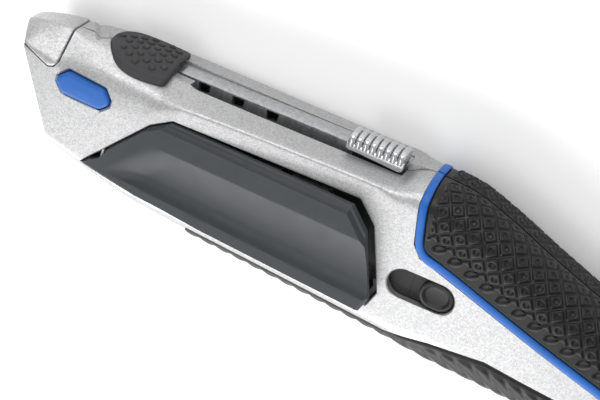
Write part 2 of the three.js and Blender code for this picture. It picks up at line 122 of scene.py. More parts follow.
def smooth(t):
    """Smoothstep: 3t^2 - 2t^3 with t held between 0 and 1."""
    t = np.clip(t, 0, 1)
    return t * t * (3 - 2 * t)


def grow(points, distance):
    """Moves every edge of closed polygons (..., n, 2) outward by distance; they turn anticlockwise."""
    ahead = np.roll(points, -1, axis=-2) - points
    normal = np.stack([ahead[..., 1], -ahead[..., 0]], -1)
    normal /= np.linalg.norm(normal, axis=-1, keepdims=True) + 1e-12
    before = np.roll(normal, 1, axis=-2)
    mitre = (normal + before) / (1 + (normal * before).sum(-1, keepdims=True) + 1e-12)
    return points + mitre * distance


def round_chain(chain, reach, steps):
    """Rounds the inner corners of chains (q, n, 2): each becomes a quadratic curve whose ends lie reach
    away along its two edges; the straight stretches between get steps points each."""
    q, n = chain.shape[:2]
    out = []
    last = chain[:, 0]
    for i in range(1, n - 1):
        corner = chain[:, i]
        ends = []
        for other in (chain[:, i - 1], chain[:, i + 1]):
            arm = other - corner
            length = np.linalg.norm(arm, axis=1, keepdims=True)
            ends.append(corner + arm * np.minimum(0.46, reach[i - 1][:, None] / length))
        t = np.linspace(0, 1, steps[i - 1])[None, :-1, None]
        out.append(last[:, None] * (1 - t) + ends[0][:, None] * t)
        t = np.linspace(0, 1, 9)[None, :-1, None]
        out.append(ends[0][:, None] * (1 - t) ** 2 + 2 * t * (1 - t) * corner[:, None]
                   + ends[1][:, None] * t * t)
        last = ends[1]
    t = np.linspace(0, 1, steps[-1])[None, :, None]
    out.append(last[:, None] * (1 - t) + chain[:, -1][:, None] * t)
    return np.concatenate(out, axis=1)


def section(x, side, offset=0.0, steps=(6, 8, 16, 6, 6)):
    """Half cross-sections (q, m, 2) of (y, z) at each x, from the spine to the belly at the blade plane:
    a hexagon through the drivers, moved out by offset, its corners rounded."""
    x = np.atleast_1d(np.asarray(x, float))
    near = side > 0
    spine = curve(SPINE_NEAR if near else SPINE_FAR, x)
    crown = curve(CROWN_NEAR if near else CROWN_FAR, x)
    ridge = curve(RIDGE_NEAR if near else RIDGE_FAR, x)
    width = curve(SIDE_NEAR if near else SIDE_FAR, x)
    belly, keel, foot = curve(BELLY, x), curve(KEEL, x), curve(FOOT, x)
    deep = np.full_like(x, -60.0)
    ring = np.stack([np.stack(p, -1) for p in [(belly, deep), (belly, foot), (keel, width),
                                               (ridge, width), (spine, crown), (spine, deep)]], 1)
    chain = grow(ring, offset)[:, ::-1]
    chain[:, 0, 1] = 0
    chain[:, -1, 1] = 0
    reach = [curve(t, x) for t in (ROUND_NEAR if near else ROUND_FAR)]
    points = round_chain(chain, reach, steps)
    points[..., 1] *= side
    return points


def arcs(points):
    """Arc length along each chain (q, m)."""
    steps = np.linalg.norm(np.diff(points, axis=1), axis=2)
    return np.concatenate([np.zeros((len(points), 1)), np.cumsum(steps, axis=1)], axis=1)


def pick(values, keys, key):
    """Linear interpolation row by row: values (q, m, 2) at the place where the rising keys reach key."""
    i = np.clip((keys <= key[:, None]).sum(1) - 1, 0, keys.shape[1] - 2)
    row = np.arange(len(key))
    t = (key - keys[row, i]) / np.maximum(keys[row, i + 1] - keys[row, i], 1e-9)
    t = np.clip(t, 0, 1)[:, None]
    tangent = values[row, i + 1] - values[row, i]
    return values[row, i] * (1 - t) + values[row, i + 1] * t, tangent


def skin(x, a, height=0.0):
    """Points of the body's surface at x and arc a from the spine's middle line, positive on the near side,
    raised by height along the section's normal. Arrays of any one shape."""
    x, a, height = np.broadcast_arrays(*[np.asarray(v, float) for v in (x, a, height)])
    shape, x, a, height = x.shape, x.ravel(), a.ravel(), height.ravel()
    out = np.empty((len(x), 3))
    for side in (1, -1):
        chosen = np.flatnonzero((a >= 0) if side > 0 else (a < 0))
        for part in np.array_split(chosen, max(1, len(chosen) // 20000)):
            if not len(part):
                continue
            chain = section(x[part], side)
            point, along = pick(chain, arcs(chain), np.abs(a[part]))
            normal = np.stack([-along[:, 1], along[:, 0]], 1) * side
            normal /= np.linalg.norm(normal, axis=1, keepdims=True) + 1e-12
            point = point + normal * height[part][:, None]
            out[part] = np.column_stack([x[part], point])
    return out.reshape(*shape, 3)


def arc_at(x, y, side=1):
    """Arc length from the spine's middle line to where the side surface at x reaches y."""
    x = np.atleast_1d(np.asarray(x, float))
    chain = section(x, side)
    found, _ = pick(np.dstack([arcs(chain)] * 2), chain[..., 0], np.broadcast_to(y, x.shape))
    return found[:, 0]


def full_arc(x, side=1):
    """Arc length of the whole half section at x."""
    return arcs(section(x, side))[:, -1]


# ------------------------------------------------------------------ meshes
def grid_faces(rows, columns, close=False):
    """Quads of a rows x columns grid of points; close joins the last column to the first."""
    i, j = np.meshgrid(np.arange(rows - 1), np.arange(columns if close else columns - 1), indexing="ij")
    k = (j + 1) % columns
    quads = np.stack([i * columns + j, i * columns + k, (i + 1) * columns + k, (i + 1) * columns + j], -1)
    return quads.reshape(-1, 4)


def slab(top, bottom):
    """A closed solid between two grids of points of one shape, joined round their border."""
    rows, columns = top.shape[:2]
    n = rows * columns
    index = np.arange(n).reshape(rows, columns)
    border = np.concatenate([index[0, :-1], index[:-1, -1], index[-1, :0:-1], index[:0:-1, 0]])
    ahead = np.roll(border, -1)
    walls = np.stack([border, border + n, ahead + n, ahead], 1)
    quads = grid_faces(rows, columns)
    faces = np.concatenate([quads, quads[:, ::-1] + n, walls])
    return np.concatenate([top.reshape(-1, 3), bottom.reshape(-1, 3)]), faces


def stack(rings):
    """A closed solid from rings of points (k, n, 3), each joined to the next; both end rings meet their
    middle point."""
    k, n = rings.shape[:2]
    points = rings.reshape(-1, 3)
    ends = np.stack([rings[0].mean(0), rings[-1].mean(0)])
    j = np.arange(n)
    ahead = (j + 1) % n
    first, last = np.full(n, k * n), np.full(n, k * n + 1)
    fans = np.stack([first, ahead, j, last, (k - 1) * n + j, (k - 1) * n + ahead], 1).reshape(-1, 3)
    return np.concatenate([points, ends]), grid_faces(k, n, close=True), fans


def new_mesh(name, points, *faces):
    """A linked object with those points, in millimetres about the blade plane, its faces outward. Each of
    faces is an array with one row for a face."""
    mesh = bpy.data.meshes.new(name)
    mesh.from_pydata(((points + RISE) * MM).tolist(), [], sum((rows.tolist() for rows in faces), []))
    mesh.update()
    thing = bpy.data.objects.new(name, mesh)
    bpy.context.scene.collection.objects.link(thing)
    if signed_volume(mesh) < 0:
        mesh.flip_normals()
    return thing


def signed_volume(mesh):
    """Volume inside a mesh, negative where its faces point inwards."""
    mesh.calc_loop_triangles()
    corner = np.empty(len(mesh.loop_triangles) * 3, np.int32)
    mesh.loop_triangles.foreach_get("vertices", corner)
    place = np.empty(len(mesh.vertices) * 3)
    mesh.vertices.foreach_get("co", place)
    a, b, c = place.reshape(-1, 3)[corner.reshape(-1, 3)].transpose(1, 0, 2)
    return float(np.einsum("ij,ij->i", a, np.cross(b, c)).sum() / 6)


def carve(thing, tools, operation="DIFFERENCE"):
    """Cuts the tools from a thing, or joins them to it, and removes them."""
    for tool in tools:
        modifier = thing.modifiers.new("cut", "BOOLEAN")
        modifier.operation = operation
        modifier.solver = "MANIFOLD"
        modifier.object = tool
    graph = bpy.context.evaluated_depsgraph_get()
    mesh = bpy.data.meshes.new_from_object(thing.evaluated_get(graph))
    thing.modifiers.clear()
    thing.data = mesh
    for tool in tools:
        bpy.data.objects.remove(tool)
    return thing


def finish(thing, body, slot, material, *nodes, angle=32):
    """Shades a piece smooth up to angle and gives it its finish, its body and the nodes it stands for."""
    thing.data.materials.clear()
    thing.data.materials.append(material)
    thing.data.shade_smooth()
    thing.data.set_sharp_from_angle(angle=math.radians(angle))
    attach(thing, body)
    if nodes:
        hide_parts(*nodes)
    return thing


def prism(name, outline, low, high):
    """A straight prism over a plan outline (n, 2), from z = low to z = high."""
    ring = np.asarray(outline, float)
    rings = np.stack([np.column_stack([ring, np.full(len(ring), z)]) for z in (low, high)])
    return new_mesh(name, *stack(rings))


def block(name, x0, x1, y0, y1, z0, z1):
    """A box between two corners."""
    return prism(name, [(x0, y0), (x1, y0), (x1, y1), (x0, y1)], z0, z1)


def rounded(outline, radius, steps=8):
    """A plan outline (n, 2) with each corner replaced by a quadratic curve reaching radius along its edges.
    radius is one number or one for each corner."""
    corners = np.asarray(outline, float)
    reach = np.broadcast_to(radius, len(corners))
    t = np.linspace(0, 1, steps)[:, None]
    out = []
    for i, corner in enumerate(corners):
        ends = []
        for other in (corners[i - 1], corners[(i + 1) % len(corners)]):
            arm = other - corner
            ends.append(corner + arm * min(0.48, reach[i] / np.linalg.norm(arm)))
        out.append(ends[0] * (1 - t) ** 2 + 2 * t * (1 - t) * corner + ends[1] * t * t)
    return np.concatenate(out)


def anticlockwise(outline):
    """The outline, turned round if it runs clockwise."""
    outline = np.asarray(outline, float)
    x, y = outline.T
    area = (x * np.roll(y, -1) - y * np.roll(x, -1)).sum()
    return outline if area > 0 else outline[::-1]


def even(outline, step):
    """Points along a closed outline about step apart, corners of the given points kept."""
    outline = np.asarray(outline, float)
    ahead = np.roll(outline, -1, axis=0)
    out = []
    for a, b in zip(outline, ahead):
        count = max(1, int(round(np.linalg.norm(b - a) / step)))
        out.append(a + (b - a) * np.arange(count)[:, None] / count)
    return np.concatenate(out)


def round_path(points, reach, step=0.5):
    """An open path (n, 2) with its inner corners rounded by quadratic curves, points about step apart."""
    points = np.asarray(points, float)
    chain = round_chain(points[None], [np.array([r], float) for r in reach],
                        [max(3, int(np.linalg.norm(b - a) / step)) for a, b in zip(points, points[1:])])[0]
    keep = np.concatenate([[True], np.linalg.norm(np.diff(chain, axis=0), axis=1) > 1e-6])
    return chain[keep]


def bead(name, path, normal, profile, closed=False):
    """A tube: profile (p, 2) of (across, up) carried along a path (n, 3), up along the given normals."""
    if closed:
        along = np.roll(path, -1, axis=0) - np.roll(path, 1, axis=0)
    else:
        along = np.gradient(path, axis=0)
    along /= np.linalg.norm(along, axis=1, keepdims=True)
    across = np.cross(along, normal)
    across /= np.linalg.norm(across, axis=1, keepdims=True)
    profile = np.asarray(profile, float)
    rings = (path[:, None] + across[:, None] * profile[None, :, :1] + normal[:, None] * profile[None, :, 1:])
    if not closed:
        return new_mesh(name, *stack(rings))
    n, p = rings.shape[:2]
    faces = grid_faces(n + 1, p, close=True) % (n * p)
    return new_mesh(name, rings.reshape(-1, 3), faces)


def on_skin(x, a):
    """Points on the body's surface and the unit normals there."""
    place = skin(x, a)
    x, a = np.asarray(x, float), np.asarray(a, float)
    small = 0.05
    by_x = skin(x + small, a) - skin(x - small, a)
    by_a = skin(x, a + small) - skin(x, a - small)
    normal = np.cross(by_x, by_a)
    normal /= np.linalg.norm(normal, axis=1, keepdims=True)
    raised = skin(x, a, 1.0) - place
    return place, normal * np.sign((normal * raised).sum(1, keepdims=True))


def skin_outline(outline, side=1):
    """A plan outline laid on one side of the body: its points and their normals."""
    outline = np.asarray(outline, float)
    arc = arc_at(outline[:, 0], outline[:, 1], side) * side
    return on_skin(outline[:, 0], arc)


def bevel_tool(name, outline, size, side=1):
    """A square tube set on its corner along an outline on the body, which cuts a chamfer of that size."""
    place, normal = skin_outline(outline, side)
    return bead(name, place, normal, [(size, 0), (0, size), (-size, 0), (0, -size)], closed=True)


# ------------------------------------------------------------------ plan outlines
BELLY_EDGE = [(26.5, 18), (24.6, 15), (0, 16.8), (-33, 19.2), (-45, 16.8), (-60, 15), (-99, 19)]
DOOR = [(56.3, 8.8), (39.9, -8.9), (34.4, -12.3), (-17.2, -12.9), (-22.4, -7.6), (-28.2, 9.4),
        (-26.6, 13.5), (20, 12.3), (40, 11)]
# Share of the full bevelled border on each edge of the reversed outline, from the lower front edge round.
DOOR_BORDER = (0.2, 0.2, 0.3, 0.04, 0.85, 1, 0.35, 0.14, 0.2)
HINGE = (51.5, 10.2)
AJAR = math.radians(4.2)
BUTTON = {"x": 60.5, "y": -10.2, "length": 15.6, "width": 5.8, "corner": 2.2, "turn": -0.04}
LATCH = {"x": -39.0, "y": 4.2, "length": 18.0, "width": 8.2}
SLOT = {"rear": -24.1, "rail": -2.8, "lip": 3.0}
WALL = 2.4                          # thickness of the shells
DOOR_GAP = 0.35
BUTTON_GAP = 0.3
DETENT = 9.7                        # distance between the rail's notches
PAD = [(40.4, -7.5), (40.4, 7.6), (48.4, 8.4), (54.9, 7.2), (59.4, 3.2), (60.2, -1), (59, -5),
       (55.4, -8), (48.4, -8.6)]


def octagon(grown=0.0):
    """The release button's plan outline, grown by an amount all round."""
    a, b = BUTTON["length"] / 2 + grown, BUTTON["width"] / 2 + grown
    c = BUTTON["corner"] + grown * 0.6
    ring = np.array([(a - c, -b), (a, c - b), (a, b - c), (a - c, b), (c - a, b), (-a, b - c),
                     (-a, c - b), (c - a, -b)])
    turn = BUTTON["turn"]
    spin = np.array([(math.cos(turn), math.sin(turn)), (-math.sin(turn), math.cos(turn))])
    return ring @ spin + (BUTTON["x"], BUTTON["y"])


def stadium(x, y, length, width, steps=20):
    """A slot outline with round ends."""
    t = np.linspace(-math.pi / 2, math.pi / 2, steps)
    end = np.column_stack([np.cos(t), np.sin(t)]) * width / 2
    right = end + ((length - width) / 2, 0)
    return np.concatenate([right, -right]) + (x, y)


# ------------------------------------------------------------------ finishes
class Nodes:
    """Short names for building a material's node tree."""

    def __init__(self, name):
        self.material = bpy.data.materials.new(name)
        self.material.use_nodes = True
        self.tree = self.material.node_tree
        self.shader = self.tree.nodes["Principled BSDF"]
        self.place = self.add("ShaderNodeTexCoord").outputs["Object"]

    def add(self, kind, **settings):
        node = self.tree.nodes.new(kind)
        for key, value in settings.items():
            if key in node.bl_rna.properties:
                setattr(node, key, value)
            else:
                node.inputs[key.replace("_", " ")].default_value = value
        return node

    def link(self, source, target):
        self.tree.links.new(source, target)

    def noise(self, scale, detail=2.0, roughness=0.5, stretch=(1, 1, 1)):
        """A noise texture with scale in cycles per metre, stretched along the axes."""
        mapping = self.add("ShaderNodeMapping")
        mapping.inputs["Scale"].default_value = stretch
        self.link(self.place, mapping.inputs["Vector"])
        texture = self.add("ShaderNodeTexNoise")
        texture.inputs["Scale"].default_value = scale
        texture.inputs["Detail"].default_value = detail
        texture.inputs["Roughness"].default_value = roughness
        self.link(mapping.outputs["Vector"], texture.inputs["Vector"])
        return texture.outputs["Fac"]

    def ramp(self, source, low, high, start=0.0, end=1.0):
        """Maps a factor between start and end to a colour or value between low and high."""
        ramp = self.add("ShaderNodeValToRGB")
        ramp.color_ramp.elements[0].position = start
        ramp.color_ramp.elements[1].position = end
        ramp.color_ramp.elements[0].color = (*low, 1) if isinstance(low, tuple) else (low, low, low, 1)
        ramp.color_ramp.elements[1].color = (*high, 1) if isinstance(high, tuple) else (high, high, high, 1)
        self.link(source, ramp.inputs["Fac"])
        return ramp.outputs["Color"]

    def bump(self, source, strength, distance):
        """Adds a bump of that height in metres to the shader's normal."""
        bump = self.add("ShaderNodeBump")
        bump.inputs["Strength"].default_value = strength
        bump.inputs["Distance"].default_value = distance
        self.link(source, bump.inputs["Height"])
        previous = self.shader.inputs["Normal"].links
        if previous:
            self.link(previous[0].from_socket, bump.inputs["Normal"])
        self.link(bump.outputs["Normal"], self.shader.inputs["Normal"])

    def set(self, **values):
        for key, value in values.items():
            self.shader.inputs[key.replace("_", " ")].default_value = value


def shade(colour, factor):
    """A colour made lighter or darker."""
    return tuple(min(1.0, c * factor) for c in colour)


def sparkle_paint(colour):
    """Silver paint: metal flakes a quarter of a millimetre across that catch the light, over a soft
    orange-peel surface."""
    n = Nodes("silver_paint")
    flakes = n.add("ShaderNodeTexVoronoi")
    flakes.inputs["Scale"].default_value = 3200
    n.link(n.place, flakes.inputs["Vector"])
    grey = n.add("ShaderNodeSeparateColor")
    n.link(flakes.outputs["Color"], grey.inputs["Color"])
    n.link(n.ramp(grey.outputs["Red"], shade(colour, 0.8), shade(colour, 1.16)),
           n.shader.inputs["Base Color"])
    n.link(n.ramp(grey.outputs["Green"], 0.34, 0.5), n.shader.inputs["Roughness"])
    n.set(Metallic=0.72, Coat_Weight=0.25, Coat_Roughness=0.25)
    n.bump(n.noise(1400, 3), 0.12, 0.0002)
    n.bump(grey.outputs["Blue"], 0.16, 0.00006)
    return n.material


def chrome(colour):
    """Polished plate with faint waviness and handling haze."""
    n = Nodes("polished_chrome")
    n.link(n.ramp(n.noise(300, 3), 0.2, 0.32, 0.4, 0.7), n.shader.inputs["Roughness"])
    n.set(Base_Color=(*colour, 1), Metallic=1.0)
    n.bump(n.noise(500, 2), 0.08, 0.0003)
    return n.material


def ground_steel(colour):
    """Steel with grinding lines across the blade and a faint oil tint."""
    n = Nodes("ground_steel")
    lines = n.noise(900, 3, 0.6, (1, 0.06, 1))
    n.link(n.ramp(lines, shade(colour, 0.78), shade(colour, 1.15), 0.3, 0.7), n.shader.inputs["Base Color"])
    n.link(n.ramp(n.noise(220, 3), 0.22, 0.4, 0.3, 0.7), n.shader.inputs["Roughness"])
    n.set(Metallic=0.8)
    n.bump(lines, 0.1, 0.0001)
    return n.material


def moulded(name, colour, rough, grain=0.1, grain_scale=2600, blotch=0.12, gloss=0.5):
    """Moulded plastic or rubber: fine spark-eroded grain, slight change of colour and sheen over it."""
    n = Nodes(name)
    patches = n.noise(60, 4, 0.6)
    n.link(n.ramp(patches, shade(colour, 1 - blotch), shade(colour, 1 + blotch), 0.3, 0.7),
           n.shader.inputs["Base Color"])
    fine = n.noise(grain_scale, 2)
    n.link(n.ramp(n.noise(180, 4, 0.6), rough - 0.06, rough + 0.06, 0.3, 0.7), n.shader.inputs["Roughness"])
    n.set(Specular_IOR_Level=gloss)
    n.bump(fine, grain, 0.0002)
    return n.material


_made = {}


def material(slot):
    """The finish of one of the record's material slots, made once with the panel's colours."""
    colours = bpy.context.scene.knife_colours
    makers = {
        "silver_paint": lambda: sparkle_paint(tuple(colours.silver)),
        "chrome": lambda: chrome(tuple(colours.chrome)),
        "blade_steel": lambda: ground_steel(tuple(colours.steel)),
        "grey_rubber": lambda: moulded("grey_rubber", tuple(colours.thumb_rest), 0.6, 0.14, gloss=0.3),
        "black_rubber": lambda: moulded("black_rubber", tuple(colours.grip), 0.36, 0.06, gloss=0.28),
        "blue_plastic": lambda: moulded("blue_plastic", tuple(colours.trim), 0.4, 0.05, gloss=0.3),
        "door_grey": lambda: moulded("door_grey", tuple(colours.door), 0.36, 0.03, 3200, 0.04, 0.22),
        "tray_plastic": lambda: moulded("tray_plastic", shade(tuple(colours.inside), 3), 0.45, 0.1,
                                        gloss=0.3),
        "black_plastic": lambda: moulded("black_plastic", tuple(colours.inside), 0.5, 0.1, gloss=0.3),
    }
    if slot not in _made:
        _made[slot] = makers[slot]()
    return _made[slot]


# ------------------------------------------------------------------ body halves
def loft(name, side, offset, x0, x1, step):
    """Half of the body as a solid: the cross-section at every step along X, moved out by offset."""
    x = np.linspace(x0, x1, int(round((x1 - x0) / step)) + 1)
    ring = section(x, side, offset)
    stations = np.broadcast_to(x[:, None, None], ring.shape[:2] + (1,))
    return new_mesh(name, *stack(np.concatenate([stations, ring], axis=2)))


def nose_cut():
    """The prism in front of the slanted nose: x past NOSE_TOP's x, less NOSE_LEAN for each y below it."""
    top = NOSE_TOP[0] + NOSE_LEAN * (-32 - NOSE_TOP[1])
    low = NOSE_TOP[0] + NOSE_LEAN * (20 - NOSE_TOP[1])
    return prism("nose_cut", [(top, -32), (low, 20), (120, 20), (120, -32)], -60, 60)


def recess(outline, side, depth):
    """A cutter over a plan outline that reaches from depth below the body's surface outwards."""
    z = (0, 60) if side > 0 else (-60, 0)
    cutter = prism("recess", anticlockwise(outline), *z)
    return carve(cutter, [loft("core", side, -depth, -99, 86, 1.5)])


def post(x, y, radius, low, high, steps=40):
    """A round bar along Z."""
    t = np.linspace(0, 2 * math.pi, steps, endpoint=False)
    return prism("post", np.column_stack([x + radius * np.cos(t), y + radius * np.sin(t)]), low, high)


def valley_tool():
    """A V-shaped cutter across the spine behind the nose cap, running slantwise."""
    ends = np.array([(69.4, -12.5), (61.6, 2.6)])
    along = (ends[1] - ends[0]) / np.linalg.norm(ends[1] - ends[0])
    across = np.array([along[1], -along[0]])
    rings = []
    for x, z in ends:
        section_points = [(-1.9, -24.0), (1.9, -24.0), (1.9, -21.9), (0.4, -20.95), (-1.9, -21.9)]
        rings.append([(x + across[0] * d, y, z + across[1] * d) for d, y in section_points])
    return new_mesh("valley", *stack(np.array(rings)))


GRIP_HOLE = [(-31.2, -40), (-31.6, -18), (-33.6, -7.4), (-36, -4.4), (-41.4, -2.8), (-87, 11.4), (-104, 17),
             (-104, -40)]
CAP_HOLE = [(69.2, -40), (69.2, -14.6), (70.1, -12.9), (72, -12.15), (96, -20.6), (96, -40)]
BELLY_HOLE = [(27, 40), (24.6, 15), (0, 16.8), (-33, 19.2), (-45, 16.8), (-60, 15), (-104, 19.4), (-104, 40)]
SCREWS = [(46, -16.6), (-36, 13.4), (-64, 9.4)]


def shell(side):
    """One half of the die-cast body: the fine loft, hollowed to the wall, with every opening cut."""
    near = side > 0
    sign = (0, 60) if near else (-60, 0)
    body = loft("near_shell_fine" if near else "far_shell_fine", side, 0, -99, 86, 0.75)
    hollow = loft("hollow", side, -WALL, -94, 63.5, 1.5)
    kept = [post(x, y, 3.2, *sign) for x, y in SCREWS]
    carve(hollow, kept)
    tools = [hollow, nose_cut(), recess(GRIP_HOLE, side, 1.3), recess(BELLY_HOLE, side, 1.3),
             recess(CAP_HOLE, side, 2)]
    tools.append(block("blade_slit", 58, 100, -12.7, 7.6, -0.7, 0.8))
    tools.append(block("parting", -120, 120, -60, 60, -1 if near else -0.15, 0.15 if near else 1))
    if near:
        tools.append(block("slot", SLOT["rear"], 35.4, -60, -13.4, -0.3, SLOT["lip"]))
        lip = [(-18.7, SLOT["lip"]), (-20.6, SLOT["lip"] - 0.3), (-20.6, SLOT["lip"] + 2.2)]
        ends = [(SLOT["rear"], 1), (32.5, 1), (35.4, 0.05)]
        ring = np.array([[(x, y, SLOT["lip"] + (z - SLOT["lip"]) * full) for y, z in lip]
                         for x, full in ends])
        tools.append(new_mesh("slot_lip", *stack(ring)))
        tools.append(block("rail_way", SLOT["rear"], 42, -60, -16.1, -0.5, 0.1))
        tools.append(block("carrier_way", 58, 69.1, -13.3, 5.3, -0.3, 2.8))
    else:
        tools.append(block("slot", SLOT["rear"], 42, -60, -13.4, SLOT["rail"], 0))
        tools.append(block("rail_seat", SLOT["rear"], 42, -60, -19.9, -5.2, 0))
    tools.append(valley_tool())
    if near:
        tools.append(prism("door_hole", grow(anticlockwise(DOOR), DOOR_GAP), 3, 60))
        tools.append(prism("button_hole", octagon(BUTTON_GAP), 4.2, 60))
        tools.append(prism("latch_hole", stadium(**LATCH), 6, 60))
        tools += [post(x, y, 1.65, -1, 6.5) for x, y in SCREWS]
        tools.append(bevel_tool("door_lip", even(grow(anticlockwise(DOOR), DOOR_GAP), 0.8), 0.3))
        tools.append(bevel_tool("button_lip", even(octagon(BUTTON_GAP), 0.5), 0.5))
        tools.append(bevel_tool("latch_lip", even(stadium(**LATCH), 0.5), 0.3))
    else:
        tools += [post(x, y, 1.8, -60, 1) for x, y in SCREWS]
        tools += [post(x, y, 3.0, -60, -9.4) for x, y in SCREWS]
    return carve(body, tools)


# ------------------------------------------------------------------ inlays
def distance(px, py, path, closed=False):
    """Shortest distance from points to a plan path of straight pieces."""
    path = np.asarray(path, float)
    ends = np.roll(path, -1, axis=0) if closed else path[1:]
    starts = path if closed else path[:-1]
    best = np.full(np.shape(px), np.inf)
    for (ax, ay), (bx, by) in zip(starts, ends):
        length = (bx - ax) ** 2 + (by - ay) ** 2
        t = np.clip(((px - ax) * (bx - ax) + (py - ay) * (by - ay)) / length, 0, 1)
        best = np.minimum(best, np.hypot(px - ax - t * (bx - ax), py - ay - t * (by - ay)))
    return best


def nose_cap():
    """A pillowed cap over the spine: columns run from the rear seam to the slanted nose and rows from one
    lower edge round the spine to the other; its height over the body falls off at every edge."""
    s = np.concatenate([np.linspace(0, 0.12, 8)[:-1], np.linspace(0.12, 0.9, 26), np.linspace(0.9, 1, 7)[1:]])
    t = np.concatenate([np.linspace(-1, -0.9, 8)[:-1], np.linspace(-0.9, 0.9, 91),
                        np.linspace(0.9, 1, 8)[1:]])
    gap = 0.28
    edge_y = [(69.2, -14.9), (69.9, -13.6), (70.6, -12.95), (72, -12.4), (96, -20.85)]
    s, t = np.meshgrid(s, t, indexing="ij")
    rear = 69.2 + gap
    x = rear + s * 14
    bulge = 0.8 * np.cos(math.pi / 2 * t)
    for _ in range(12):
        edge = arc_at(x.ravel(), np.interp(x.ravel(), *np.array(edge_y).T)).reshape(x.shape)
        place = skin(x, t * edge)
        front = NOSE_TOP[0] + NOSE_LEAN * (place[..., 1] - NOSE_TOP[1]) + bulge
        x = rear + s * (front - rear)
    side_gap = (1 - np.abs(t)) * edge
    rim = np.minimum(np.minimum(side_gap, x - rear), front - x)
    roll = np.clip(rim / 0.7, 0, 1)
    height = -0.35 + 0.75 * np.sqrt(1 - (1 - roll) ** 2) + 0.2 * smooth(rim / 3)
    top = skin(x, t * edge, height)
    bottom = skin(x, t * edge, -1.7)
    for face in (top, bottom):
        front = NOSE_TOP[0] + NOSE_LEAN * (face[..., 1] - NOSE_TOP[1]) + bulge
        face[..., 0] = np.minimum(face[..., 0], front)
    return new_mesh("nose_cap_fine", *slab(top, bottom))


def trim_path(side, inset):
    """The trim's line as (x, arc) points: down from the spine's middle, round the corner, along to the
    rear."""
    plan = [(-31.6 - inset, -18), (-33.6 - inset, -7.4), (-36.2 - inset * 0.8, -4.3 - inset * 0.5),
            (-41.4 - inset * 0.3, -2.8 - inset), (-70, 6.1 - inset), (-98.4, 14.95 - inset)]
    plan = round_path(plan, [3, 2.2, 2.5, 6], 0.6)
    arc = arc_at(plan[:, 0], plan[:, 1], side)
    top = np.linspace(0.35, arc[0], 30)[:-1]
    front = np.interp(top, [0, arc[0]], [-31.2 - inset, -31.6 - inset])
    return np.column_stack([np.concatenate([front, plan[:, 0]]), np.concatenate([top, arc])])


def trim(side):
    """The coloured trim: a low rounded bead, a little proud, carried along the grip's edge."""
    path = trim_path(side, 1.2)
    place, normal = on_skin(path[:, 0], path[:, 1] * side)
    t = np.linspace(0, math.pi, 9)
    dome = np.column_stack([1.02 * np.cos(t) * (1 + 0.04 * np.sin(t)), 0.05 + 0.4 * np.sin(t) ** 0.8])
    profile = [*dome, (-1.02, -0.95), (1.02, -0.95)]
    name = "left_trim_fine" if side > 0 else "right_trim_fine"
    return bead(name, place, normal, profile)


def cells(p, q, pitch):
    """Height of the grip's pattern, 0 to 1: rows of raised squares turned 45 degrees to the trim, each with
    a round dimple."""
    u = (p + q) / math.sqrt(2) / pitch
    v = (p - q) / math.sqrt(2) / pitch
    fu, fv = np.abs(u - np.round(u)), np.abs(v - np.round(v))
    square = smooth((0.42 - np.maximum(fu, fv)) / 0.07)
    dimple = smooth((0.25 - np.hypot(fu, fv)) / 0.1)
    return square - 0.95 * dimple


def leaves(p, w, pitch):
    """Height of the row of leaf-shaped cells next to the smooth border: pointed ovals laid slantwise."""
    along = (p / pitch - np.round(p / pitch)) * pitch
    u = (along + w) / math.sqrt(2)
    v = (along - w) / math.sqrt(2)
    width = 1.25 * np.clip(1 - (u / 2.25) ** 2, 0, 1)
    leaf = smooth((width - np.abs(v)) / 0.3)
    groove = smooth((width * 0.5 - np.abs(v + 0.12)) / 0.3)
    return leaf - 0.9 * groove


def grip(side):
    """One side's grip: the body's skin over the outline, its height set by the border, the leaf row and the
    dimpled squares."""
    sizes = bpy.context.scene.knife_sizes
    step = 0.23
    xs = np.arange(-99.0, -33.0, step)
    lower = np.interp(xs, [-98.4, -70, -41.4, -36.2, -33.6, -31.6], [12.5, 3.75, -5.2, -6.6, -9, -18])
    edge = arc_at(xs, lower, side)
    share = np.linspace(0, 1, 190)
    x = np.broadcast_to(xs[:, None], (len(xs), len(share)))
    a = 0.3 + (edge[:, None] - 0.3) * share
    spread = lower[:, None] - (edge[:, None] - a)
    lean = math.atan2(9.0, 28.4)
    p = -(x + 41.4) * math.cos(lean) + (spread + 5.1) * math.sin(lean)
    w = -(x + 41.4) * math.sin(lean) - (spread + 5.1) * math.cos(lean)
    front = x * 0 + np.interp(a, [0, arc_at([-33.8], [-18], side)[0], arc_at([-36], [-7.4], side)[0]],
                              [-33.5, -33.9, -36.0])
    rim = np.minimum(front - x, edge[:, None] - a)
    rim = np.minimum(rim, w)
    pitch = sizes.grip_pitch * 1000
    squares = cells(p, w - 4.1, pitch)
    leaf = leaves(p + pitch * 0.7, w - 3.2, pitch * math.sqrt(2))
    pattern = np.where(w > 4.6, squares * smooth((rim - 1.6) / 0.8), leaf * smooth((rim - 0.8) / 0.8))
    fade = smooth((x + 98) / 3) * smooth((a - 0.7) / 1.0)
    height = -0.28 + 0.3 * smooth(rim / 0.5) + sizes.grip_relief * 1000 * pattern * fade
    top = skin(x, a * side, height)
    bottom = skin(x, a * side, -1.0)
    name = "left_grip_fine" if side > 0 else "right_grip_fine"
    sheet = new_mesh(name, *slab(top, bottom))
    outline = round_path([(-33.4, -40), (-33.75, -18), (-35.9, -8.2), (-37.8, -6.3), (-42, -5.15),
                          (-70, 3.75), (-99, 12.8)], [1, 2.2, 1.6, 2.2, 4], 0.7)
    keep = prism("grip_outline", anticlockwise([*outline, (-104, 12.8), (-104, -40)]),
                 *((0, 60) if side > 0 else (-60, 0)))
    return carve(sheet, [keep], "INTERSECT")


